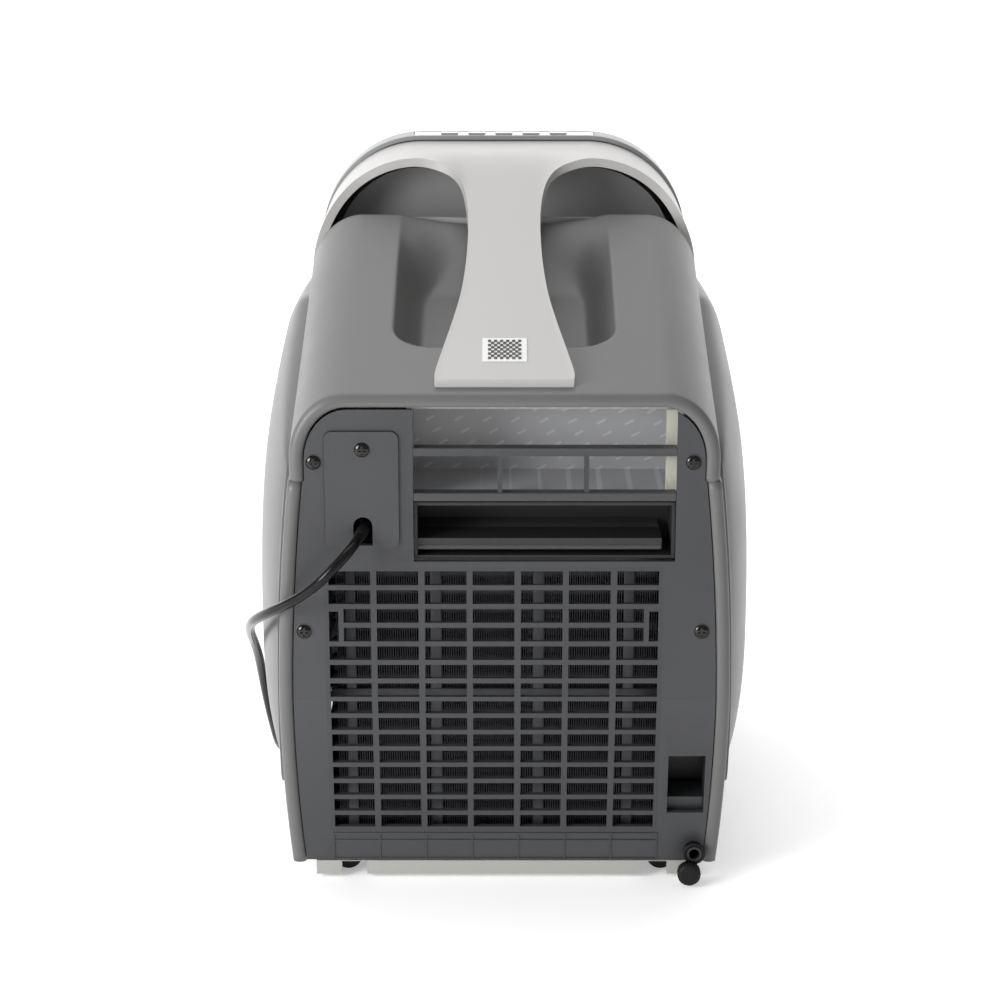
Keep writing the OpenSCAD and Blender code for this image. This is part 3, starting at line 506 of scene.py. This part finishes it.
def make_tie():
    """Soft tie round one side of the coil."""
    angle = math.radians(62)
    cx = COIL_CENTRE[0] + COIL_MID_R * math.cos(angle)
    cy = COIL_CENTRE[1] + COIL_MID_R * math.sin(angle)
    out = Vector((math.cos(angle), math.sin(angle), 0))
    along = Vector((-math.sin(angle), math.cos(angle), 0))
    rows = []
    half_w, half_h, height = 10.6, 6.1, 6.3
    for s in (-3.5, 3.5):
        row = []
        for k in range(40):
            a = 2 * math.pi * k / 40
            c, d = math.cos(a), math.sin(a)
            bulge = (abs(c) ** 4 + abs(d) ** 4) ** -0.25
            place = Vector((cx, cy, height)) + along * s + out * (half_w * c * bulge)
            place.z = max(0.2, height + half_h * d * bulge)
            row.append(tuple(place))
        rows.append(row)
    made = piece("cord_tie", flatten(rows), grid_faces(2, 40, closed=True), RUBBER, "rubber_black")
    mod = made.modifiers.new("wall", "SOLIDIFY")
    mod.thickness, mod.offset = 0.8 * MM, -1
    return made


def make_plug():
    """Generic two-pin plug with a ribbed neck, lying beside the coil."""
    x, y, z = COIL_CENTRE[0] + 64, COIL_CENTRE[1] - 36, 8.1
    profile = [(0, 3.9), (2, 4.3)]
    for k in range(3):
        profile += [(3 + 2.6 * k, 4.6 + 0.9 * k), (3.5 + 2.6 * k, 4.0 + 0.9 * k),
                    (4.6 + 2.6 * k, 4.1 + 0.9 * k), (5.1 + 2.6 * k, 5.1 + 0.9 * k)]
    profile += [(11.5, 7.2), (13, 7.8), (18, 8), (24, 7.4), (30, 7.6), (38, 7.9), (39.4, 7.6), (40, 7)]
    body = revolve(profile, (x - 10, y, z), (1, 0, 0), name="power_plug_look", mat=PLUG,
                   slot="plug_black", stands_for=["power_plug"])
    for s, name in ((-1, "plug_pin_a"), (1, "plug_pin_b")):
        pin = revolve([(0, 1.7), (7, 1.7), (7.2, 1.5), (16, 1.5), (17.3, 1.1), (17.9, 0.4)],
                      (x + 30, y + 4.5 * s, z), (1, 0, 0), 24, name, mat=STEEL, slot="bracket_steel")
        pin.parent = body
    return body


# ---- Shells ----------------------------------------------------------------------------------

def edge_profile(lip, t, r):
    """(inset, distance from the rear face) round the rolled rim, from its inner edge."""
    turns = [math.pi * k / 18 for k in range(19)]
    return [(lip, r + t)] + [(lip * (1 + math.cos(a)) / 2, r - r * math.sin(a)) for a in turns]


# Half-width, rear end, depth and corner radius of the finger scoops
SCOOP_X, SCOOP_Y0, SCOOP_DEPTH, SCOOP_R = 72, REAR_Y + 58, 27, 26


def scoop(x, y):
    """Depth of the finger scoops under the bridge: a crisp outer edge that eases into a floor."""
    inside_x, inside_y = SCOOP_X - abs(x), y - SCOOP_Y0
    if min(inside_x, inside_y) <= 0:
        return 0
    inside = min(inside_x, inside_y)
    if inside_x < SCOOP_R and inside_y < SCOOP_R:
        inside = SCOOP_R - math.hypot(SCOOP_R - inside_x, SCOOP_R - inside_y)
    reach = 20 + 30 * smooth(-30, 52, y)
    wall = math.sin(math.pi / 2 * min(1, max(0, inside) / reach))
    return SCOOP_DEPTH * wall * (1 - 0.76 * smooth(-15, 54, y))


def make_upper_shell():
    """Rolled rear rim, sloping top with its two scoops, and the crest."""
    w = BODY_W / 2
    stations = [(i, REAR_Y + d) for i, d in edge_profile(RIM_W, LIP_T, RIM_R)]
    run, crest_r = 130, 7
    stations += [(0, REAR_Y + RIM_R + (CREST_RUN - RIM_R - crest_r) * k / run) for k in range(1, run + 1)]
    stations += [(crest_r - crest_r * math.cos(a), CREST_Y - crest_r + crest_r * math.sin(a))
                 for a in quarter(6, 1)]
    stations += [(12, CREST_Y), (18, CREST_Y)]
    rows = []
    for inset, y in stations:
        path = arch(w - inset, slope_z(y) - inset, RIM_CORNER[0] - inset, RIM_CORNER[1] - inset,
                    SEAM_H, 22, 5, 150)
        rows.append([(x, y, z - (scoop(x, y) if z > SEAM_H + 40 else 0)) for x, z in path])
    sheet_piece("upper_shell_look", rows, SHELL, "shell_grey", SHELL_T, stands_for=["upper_shell"])


def make_lower_shell():
    back = FRONT_JOINT_Y - GAP
    heights = [GROUND_GAP + (SEAM_H - GAP - GROUND_GAP) * k / 44 for k in range(45)]
    for s, name in ((-1, "left"), (1, "right")):
        rows = []
        for z in heights:
            w, r = side_w(z), rear_at(z)
            row = [(s * (w - i), r + d, z) for i, d in edge_profile(RIM_W, LIP_T, RIM_R)]
            row += [(s * w, r + RIM_R + (back - r - RIM_R) * k / 16, z) for k in range(1, 17)]
            rows.append(row)
        sheet_piece("lower_shell_" + name, rows, SHELL, "shell_grey", SHELL_T,
                    stands_for=["lower_shell"] if s < 0 else ())


def hump(u, peak, n):
    """Rounded hump: 0 at u = 0 and 1, 1 at the peak, squarer for a larger n."""
    far = abs(u - peak) / (peak if u < peak else 1 - peak)
    return max(0, 1 - far ** n) ** (1 / n)


POD_Y0, POD_Y1, POD_Z0 = REAR_Y + 24, FRONT_Y - 34, 60
POD_LIP, POD_TRIM = 2.2, 26


def pod_point(u, v):
    """Outer face of a side cover, u from the rear to the front and v upwards."""
    y = POD_Y0 + (POD_Y1 - POD_Y0) * u
    trim = POD_TRIM * (1 - hump(u, 0.5, 5))
    high = min(SEAM_H + 72, slope_z(y) - RIM_CORNER[1] - 6) - trim
    z = POD_Z0 + trim + (high - POD_Z0 - trim) * v
    bulge = POD_LIP + (BELLY + POD_BULGE - POD_LIP) * hump(u, 0.36, 1.9) * hump(v, 0.36, 2.4)
    return max(side_w(z) + GAP + POD_LIP, BODY_W / 2 + GAP + bulge), y, z


def make_side_cover(s, name):
    def eased(k, n):
        """Finer steps near both ends, where the cover curves in."""
        return 0.5 - 0.5 * math.cos(math.pi * k / n)

    def at_shell(p):
        """The same point on the shell behind the cover."""
        return (s * (side_w(p[2]) + GAP), p[1], p[2])

    n_u, n_v = 64, 56
    rows = []
    for i in range(n_u + 1):
        outer = [pod_point(eased(i, n_u), eased(k, n_v)) for k in range(n_v + 1)]
        face = [(s * x, y, z) for x, y, z in outer]
        rows.append([at_shell(face[0])] + face + [at_shell(face[-1])])
    rows = [[at_shell(p) for p in rows[0]]] + rows + [[at_shell(p) for p in rows[-1]]]
    made = piece("side_cover_" + name + "_look", flatten(rows),
                 grid_faces(len(rows), len(rows[0])), COVER, "cover_grey",
                 stands_for=["side_cover_" + name])
    shade_by_angle(made, 50)
    bevel(made, 0.8, 2, 50)


def front_outline(t):
    """Outline of the front panel, t inside its outer face."""
    w = BODY_W / 2 - t
    heights = [GROUND_GAP + t + (300 - GROUND_GAP - t) * k / 24 for k in range(25)]
    left = [(-(side_w(z) - t), z) for z in heights]
    left += half_arch(w, BODY_H - t, HOOP_CORNER[0] - t, HOOP_CORNER[1] - t, 340, 22)
    return left + [(-x, z) for x, z in reversed(left)]


LOUVER_X, LOUVER_Z0, LOUVER_ZONE = 92, 322, 81
DISPLAY_X, DISPLAY_Y0, DISPLAY_Y1 = 66, HOOP_Y1 + 2, FRONT_Y - 9


def cutter(low, high):
    """A box to cut with, between two corners in millimetres."""
    bpy.ops.mesh.primitive_cube_add(size=1)
    cube = bpy.context.object
    cube.scale = [(b - a) * MM for a, b in zip(low, high)]
    cube.location = [(a + b) / 2 * MM for a, b in zip(low, high)]
    bpy.context.view_layer.update()
    return cube


def cut(made, *boxes):
    """Cut boxes out of a piece, each given by its two corners."""
    cubes = [cutter(*b) for b in boxes]
    for cube in cubes:
        mod = made.modifiers.new("cut", "BOOLEAN")
        mod.operation, mod.object, mod.solver = "DIFFERENCE", cube, "EXACT"
    apply_modifiers(made)
    for cube in cubes:
        bpy.data.objects.remove(cube, do_unlink=True)


def make_front_panel():
    """Front panel with its louver and display openings, and the cheeks beside it."""
    r = 8
    outer = [(FRONT_Y - r + r * math.sin(a), r - r * math.cos(a)) for a in reversed(quarter(8))]
    rings = [[(x, y, z) for x, z in front_outline(t)] for y, t in outer]
    back = HOOP_Y1 + GAP
    rings += [[(x, back, z) for x, z in front_outline(0)]]
    rings += [[(x, y, z) for x, z in front_outline(WALL + 0.5)] for y in (back, FRONT_Y - WALL)]
    n = len(rings[0])
    faces = grid_faces(len(rings), n, closed=True)
    faces.append(tuple(range(n))[::-1])
    faces.append(tuple((len(rings) - 1) * n + k for k in range(n)))
    made = piece("front_panel_look", flatten(rings), faces, FRONT, "cover_grey",
                 stands_for=["front_panel"])
    outlet = ((-LOUVER_X, FRONT_Y - 20, LOUVER_Z0), (LOUVER_X, FRONT_Y + 5, LOUVER_Z0 + LOUVER_ZONE))
    display = ((-DISPLAY_X, DISPLAY_Y0, BODY_H - 12), (DISPLAY_X, DISPLAY_Y1, BODY_H + 5))
    cut(made, outlet, display)
    shade_by_angle(made, 30)
    bevel(made, 0.6, 2, 40)
    for s, name in ((-1, "left"), (1, "right")):
        heights = [GROUND_GAP + (SEAM_H - GAP - GROUND_GAP) * k / 30 for k in range(31)]
        rows = [[(s * side_w(z), FRONT_JOINT_Y + (back - FRONT_JOINT_Y) * k / 6, z)
                 for k in range(7)] for z in heights]
        sheet_piece("front_cheek_" + name, rows, FRONT, "cover_grey", 2.6)


# ---- Handle ----------------------------------------------------------------------------------

BRIDGE_Y0, BRIDGE_Z0, BRIDGE_RISE = REAR_Y + 10, RIM_H + 8, math.radians(21)
# Bridge: (distance from its rear end, half-width); flare: (X, Y) of the hoop's rear edge
BRIDGE_PLAN = [(0, 43), (8, 43.2), (34, 38.5), (60, 33.5), (90, 28.6), (120, 25.8),
               (150, GRIP_W / 2), (182, GRIP_W / 2), (204, 26)]
FLARE = [(26, 28), (29, 46), (34.5, 60), (42, 67), (55, 71), (70, 72.5)]
FLARE_X, FLARE_Y = FLARE[0]
HOOP_TOP = BODY_H - 4


def bridge_top(y):
    """Top of the bridge, eased into the hoop's flat top."""
    line, ease = BRIDGE_Z0 + (y - BRIDGE_Y0) * math.tan(BRIDGE_RISE), 5
    if line > HOOP_TOP + 40:
        return HOOP_TOP
    return -ease * math.log(math.exp((HOOP_TOP - line) / ease) + 1) + HOOP_TOP


def hoop_outline(bridge_cols=15, flare_cols=26, arc_cols=34, leg_rows=14):
    """Right half of the hoop: (x, z, way out) from the middle down to the seam."""
    w, (a, b) = BODY_W / 2, HOOP_CORNER
    flat = w - a
    points = [(FLARE_X * k / bridge_cols, HOOP_TOP, (0, 1)) for k in range(bridge_cols + 1)]
    points += [(FLARE_X + (flat - FLARE_X) * k / flare_cols, HOOP_TOP, (0, 1))
               for k in range(1, flare_cols)]
    for k in range(arc_cols + 1):
        t = math.pi / 2 * k / arc_cols
        out = Vector((b * math.sin(t), a * math.cos(t))).normalized()
        points.append((flat + a * math.sin(t), HOOP_TOP - b + b * math.cos(t), tuple(out)))
    bottom = HOOP_TOP - b
    points += [(w, bottom + (SEAM_H - bottom) * k / leg_rows, (1, 0)) for k in range(1, leg_rows + 1)]
    return points


def handle_point(x, z, out, y, depth):
    """A point of the handle, depth below its top surface."""
    fade = 1 - smooth(25, 62, abs(x))
    drop = (HOOP_TOP - bridge_top(y)) * fade
    return (x - out[0] * depth, y, z - drop - out[1] * depth)


def closed_skin(upper, lower):
    """Faces of two matching sets of grids and of the wall between their open edges."""
    keys, points = {}, []

    def index(p):
        key = tuple(round(c, 2) for c in p)
        if key not in keys:
            keys[key] = len(points)
            points.append(p)
        return keys[key]

    faces = []
    for top_grid, low_grid in zip(upper, lower):
        for i in range(len(top_grid) - 1):
            for k in range(len(top_grid[0]) - 1):
                cells = [(i, k), (i, k + 1), (i + 1, k + 1), (i + 1, k)]
                faces.append(([index(top_grid[r][c]) for r, c in cells],
                              [index(low_grid[r][c]) for r, c in cells]))
    edges = {}
    for top, low in faces:
        for n in range(4):
            edge = (top[n], top[(n + 1) % 4])
            edges.setdefault(frozenset(edge), []).append((edge, (low[n], low[(n + 1) % 4])))
    walls = [(e[0][0][0], e[0][0][1], e[0][1][1], e[0][1][0]) for e in edges.values() if len(e) == 1]
    return points, [tuple(f[0]) for f in faces] + [tuple(reversed(f[1])) for f in faces] + walls


def bridge_depth(y):
    """Thickness of the bridge: a full grip at the rear, thin where it meets the hoop."""
    return HOOP_T + (GRIP_T - HOOP_T) * (1 - smooth(0, 58, y))


def make_handle():
    """Hourglass bridge that flares out into the hoop round the top."""
    flare = np.array(catmull([(a, b, 0) for a, b in FLARE], 10))

    def rear_edge(x, z):
        x = abs(x)
        if x <= FLARE_X:
            return FLARE_Y
        if x < FLARE[-1][0]:
            return float(np.interp(x, flare[:, 0], flare[:, 1]))
        lean = smooth(0, 1, (z - BODY_H + 62) / 46)
        return CREST_Y + GAP + (FLARE[-1][1] - CREST_Y - GAP) * lean

    half = hoop_outline()
    outline = [(-x, z, (-o[0], o[1])) for x, z, o in reversed(half[1:])] + half
    rows_band = 40
    upper_band, lower_band = [], []
    for x, z, out in outline:
        y0 = rear_edge(x, z)
        ys = [y0 + (HOOP_Y1 - y0) * (k / rows_band) ** 1.3 for k in range(rows_band + 1)]
        depth = [HOOP_T + (bridge_depth(y) - HOOP_T) * (1 - smooth(25, 50, abs(x))) for y in ys]
        upper_band.append([handle_point(x, z, out, y, 0) for y in ys])
        lower_band.append([handle_point(x, z, out, y, d) for y, d in zip(ys, depth)])
    plan = np.array(catmull([(d, h, 0) for d, h in BRIDGE_PLAN], 10))
    cols, rows = 15, 70
    upper_bridge, lower_bridge = [], []
    for i in range(rows + 1):
        y = BRIDGE_Y0 + (FLARE_Y - BRIDGE_Y0) * i / rows
        width = float(np.interp(y - BRIDGE_Y0, plan[:, 0], plan[:, 1]))
        xs = [width * k / cols for k in range(-cols, cols + 1)]
        for grid, depth in ((upper_bridge, 0), (lower_bridge, bridge_depth(y))):
            row = [handle_point(x * FLARE_X / width, HOOP_TOP, (0, 1), y, depth) for x in xs]
            grid.append([(x, p[1], p[2]) for x, p in zip(xs, row)])
    points, faces = closed_skin([upper_band, upper_bridge], [lower_band, lower_bridge])
    made = piece("handle_look", points, faces, LIGHT, "handle_light", stands_for=["handle"])
    shade_by_angle(made, 50)
    bevel(made, 2.6, 5, 50)


# ---- Small pieces ----------------------------------------------------------------------------

PANEL_FACE = REAR_Y + 2
SCREWS = [(-118.8, 292), (117.2, 292), (-126.8, 181), (124.7, 181)]
COVER_SCREW = (-88.5, 300.5)
SCREW_R = 4.8
SEAT_PROFILE = [(0, 5.3), (-0.25, 5.3), (-0.35, 5.1), (-0.3, 4.7), (0.6, 4.6), (0.6, 0.2)]


def make_screw(name, x, y, z, stands_for=()):
    """Domed screw head with a cross recess, its axis along Y."""
    r = SCREW_R
    dome = [(-2.4 * math.cos(a), r * math.sin(a)) for a in reversed(quarter(10, 2))]
    head = revolve([(1.2, r * 0.5), (0.4, r)] + dome, (x, y, z), (0, 1, 0), 48, name, mat=SCREW,
                   slot="screw_steel", stands_for=stands_for)
    arm, width, front = r * 0.56, r * 0.15, y - 1.1
    cut(head, ((x - arm, y - 4, z - width), (x + arm, front, z + width)),
        ((x - width, y - 4, z - arm), (x + width, front, z + arm)))
    shade_by_angle(head, 35)


def make_screws():
    for k, (x, z) in enumerate(SCREWS):
        revolve(SEAT_PROFILE, (x, PANEL_FACE, z), (0, 1, 0), 48, f"screw_seat_{k + 1}", mat=PANEL,
                slot="panel_dark")
        make_screw(f"panel_screw_{k + 1}", x, PANEL_FACE + 0.3, z, ["panel_screws"] if k == 0 else ())
    make_screw("cover_screw", COVER_SCREW[0], PANEL_FACE - 1.5, COVER_SCREW[1])


def make_cover_seam():
    """Dark joint round the small cover over the lead's entry."""
    x0, x1, z0, z1, r = -112, -66, 236.5, 312, 5
    corners = [(x1 - r, z1 - r), (x0 + r, z1 - r), (x0 + r, z0 + r), (x1 - r, z0 + r)]
    y = PANEL_FACE - 0.08
    points = []
    for reach in (r + 0.55, r - 0.3):
        for quadrant, (cx, cz) in enumerate(corners):
            for k in range(9):
                a = math.pi / 2 * (quadrant + k / 8)
                points.append((cx + reach * math.cos(a), y, cz + reach * math.sin(a)))
    n = len(points) // 2
    piece("cover_seam", points, ring_faces(n), DARK, "panel_dark", flat=True)


def make_tray_shelf():
    """Sloping shelf in the recess under the outlet, with a rounded front lip."""
    y0 = REAR_Y + 7.4
    section = [(y0 + 0.4, 233.7), (y0, 234.4), (y0, 236), (y0 + 0.4, 236.8), (y0 + 1.2, 237.2),
               (y0 + 39, 243.4), (y0 + 39, 233.7)]
    x0, x1 = -54.5, 98
    points = [(x0, y, z) for y, z in section] + [(x1, y, z) for y, z in section]
    n = len(section)
    faces = ring_faces(n) + [tuple(range(n)), tuple(range(2 * n - 1, n - 1, -1))]
    shelf = piece("tray_shelf", points, faces, PANEL, "liner_dark")
    shade_by_angle(shelf, 40)


def make_label_print():
    """A plain checker of small squares, lying on the label."""
    low, high = (Vector(c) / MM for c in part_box("handle_label"))
    middle = (low + high) / 2
    cell_x, cols, rows = 1.9, 11, 9
    cell_y = cell_x * 1.25
    lift, thick = 0.42, 0.12
    points, faces = [], []
    for i in range(cols):
        for k in range(rows):
            if (i + k) % 2 == 0:
                x, y = (i - cols / 2) * cell_x, (k - rows / 2) * cell_y
                add_block(points, faces, (x, y, 0), (x + cell_x, y + cell_y, thick))
    c, d = math.cos(BRIDGE_RISE), math.sin(BRIDGE_RISE)
    placed = [(x + middle.x, middle.y + y * c - (z + lift) * d, middle.z + y * d + (z + lift) * c)
              for x, y, z in points]
    piece("label_checker", placed, faces, INK, "label_white", flat=True)


def make_bottom_ribs():
    """Raised cells along the lower edge of the rear panel, one under each grille column."""
    lean = math.atan(TUCK / (KINK_H - GROUND_GAP))
    length = (KINK_H - GROUND_GAP) / math.cos(lean)
    pitch, x0, cols, height = 30.3, -112, 7, 20
    points, faces = [], []
    low, high = 2.2 - length, 2.2 - length + height
    for k in range(cols + 1):
        x = x0 + pitch * k
        add_block(points, faces, (x - 0.5, -0.7, low), (x + 0.5, 0.3, high))
    for z in (low, high - 5.5, high):
        add_block(points, faces, (x0 - 0.5, -0.7, z - 0.5), (x0 + pitch * cols + 0.5, 0.3, z + 0.5))
    c, d = math.cos(lean), math.sin(lean)
    placed = [(x, PANEL_FACE + y * c - z * d, KINK_H + y * d + z * c) for x, y, z in points]
    made = piece("bottom_ribs", placed, faces, PANEL, "panel_dark")
    bevel(made, 0.25, 2, 40)


def blocks_piece(name, boxes, mat, flat=False, **kw):
    """One piece made of boxes, each given by its two corners."""
    points, faces = [], []
    for low, high in boxes:
        add_block(points, faces, low, high)
    return piece(name, points, faces, mat, "fin_metal", flat=flat, **kw)


def make_condenser():
    """Fine vertical fins with the tube rows and end plates behind the grille."""
    x0, x1, y0, z0, z1 = -109, 98, REAR_Y + 30, 30, 218
    pitch, fin_t, fin_depth = 1.5, 0.35, 24
    fins = [x0 + 1 + k * pitch for k in range(int((x1 - x0) / pitch))]
    blocks_piece("condenser_fins", [((x, y0, z0), (x + fin_t, y0 + fin_depth, z1)) for x in fins], FIN,
                 flat=True, stands_for=["condenser_coil"])
    tubes = blocks_piece("condenser_tubes", [((x0 - 3, y0 + 3, z - 4), (x1 + 3, y0 + 10, z + 4))
                                             for z in range(z0 + 12, z1 - 6, 12)], FIN)
    bevel(tubes, 3, 4, 40)
    posts = [((x - 3.5, y0 - 2.5, z0), (x + 3.5, y0 - 0.4, z1 + 3)) for x in (-99, -44, 22, 80)]
    bars = [((x0 - 3, y0 - 3, z), (x1 + 3, y0 - 0.3, z + 5)) for z in (z0 - 4, 128, z1)]
    frame_bars = blocks_piece("condenser_frame", posts + bars, RIB)
    bevel(frame_bars, 0.5, 2, 40)


NOZZLE_X, NOZZLE_Z, CAP_R = 124.5, 21.5, 7.5


def circle_at(x, z, r, y, steps):
    """Points of a circle about an axis along Y."""
    turns = [2 * math.pi * k / steps for k in range(steps)]
    return [(x + r * math.cos(a), y, z + r * math.sin(a)) for a in turns]


def make_drain_cap():
    """Cap on a strap ring, with a ribbed rim. It moves with its own body."""
    rides = {"mat": RUBBER, "slot": "rubber_black", "body": "drain_cap"}
    tip_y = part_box("drain_cap")[1][1] / MM
    cap_x, cap_z, cap_y = NOZZLE_X - 3.5, NOZZLE_Z - 12, tip_y - 11
    profile = [(0, 5.2), (0.4, CAP_R - 0.8), (1, CAP_R - 0.2), (8, CAP_R - 0.2), (8.6, CAP_R - 0.8),
               (9, 5)]
    revolve(profile, (cap_x, cap_y, cap_z), (0, 1, 0), 48, "drain_cap_look", stands_for=["drain_cap"],
            **rides)
    points, faces = [], []
    ribs = 24
    for k in range(ribs):
        faces += box_faces(len(points))
        for along in (1.6, 7.6):
            for turn in (-0.07, 0.07):
                a = 2 * math.pi * k / ribs + turn
                points += [(cap_x + r * math.cos(a), cap_y + along, cap_z + r * math.sin(a))
                           for r in (CAP_R - 0.5, CAP_R + 0.1)]
    piece("drain_cap_ribs", points, faces, **rides)
    ring = [(0, 5.1), (0, 7.2), (0.4, 7.4), (2.4, 7.4), (2.8, 7.2), (2.8, 5.1), (0, 5.1)]
    rows = [circle_at(NOZZLE_X, NOZZLE_Z, r, tip_y - 2.9 + d, 48) for d, r in ring]
    piece("drain_cap_ring", flatten(rows), grid_faces(len(rows), 48, closed=True), **rides)
    outline = [(-2, -6.4), (2, -6.4), (1, -12), (-5, -12)]
    points = [(NOZZLE_X + x, y, NOZZLE_Z + z) for y in (tip_y - 2.4, tip_y - 0.9) for x, z in outline]
    faces = [(0, 1, 2, 3), (7, 6, 5, 4)] + ring_faces(4)
    strap = piece("drain_cap_strap", points, faces, **rides)
    bevel(strap, 0.4, 2, 40)


# ---- Materials and edges of the CAD nodes that stay --------------------------------------------

# Node: its material and the width of its rounded edges in millimetres
KEPT = {
    "base_pan": (CREAM, 0.8), "handle_liner": (RECESS, 0.6), "handle_label": (LABEL, 0.1),
    "rear_panel": (PANEL, 0.7), "rear_panel_lower": (PANEL, 0.7), "cord_cover": (PANEL, 0.5),
    "intake_grille_upper": (PANEL, 0.9), "intake_grille_lower": (PANEL, 0.9),
    "outlet_grille": (PANEL, 0.7), "outlet_duct": (DUCT, 0.5), "outlet_tray": (DARK, 0.6),
    "foam_seal": (FOAM, 0.8), "pocket_liner": (DARK, 0.5), "pocket_bracket": (BRACKET, 0.6),
    "display_panel": (DISPLAY, 0.3), "control_board": (BOARD, 0.1), "louver_frame": (LINER, 0.5),
    "evaporator_coil": (FIN, 0.2), "refrigerant_pipes": (COPPER, 0), "compressor": (ENAMEL, 2.0),
    "compressor_feet": (RUBBER, 0.8), "exhaust_scroll": (ZINC, 0.8), "exhaust_wheel": (FAN, 0.2),
    "exhaust_motor": (ZINC, 1.5), "cool_wheel": (FAN, 0.2), "cool_motor": (ZINC, 1.2),
    "drain_pan": (CREAM, 0.6), "drain_nozzle": (PLUG, 0.3), "electrics": (ZINC, 1.2),
}


def dress_cad_nodes():
    """Material and rounded edges for every CAD node that stays visible."""
    looks = dict(KEPT)
    for name in ("power", "mode", "fan", "up", "down"):
        looks[name + "_button"] = (DISPLAY, 0.7)
    for i in range(1, 6):
        looks[f"louver_{i}"] = (FRONT, 0.6)
    for i in range(1, 5):
        looks[f"caster_fork_{i}"] = (PLUG, 0.3)
        looks[f"caster_wheel_{i}"] = (RUBBER, 1.2)
    for name, (mat, width) in looks.items():
        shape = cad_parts[name]
        shape.data.materials.clear()
        shape.data.materials.append(mat)
        if width:
            bevel(shape, width, 3, 40)


# ---- Build -----------------------------------------------------------------------------------

make_camera()
make_cord()
make_studio()
make_upper_shell()
make_lower_shell()
make_side_cover(-1, "left")
make_side_cover(1, "right")
make_front_panel()
make_handle()
make_screws()
make_cover_seam()
make_tray_shelf()
make_condenser()
make_label_print()
make_bottom_ribs()
make_drain_cap()
dress_cad_nodes()
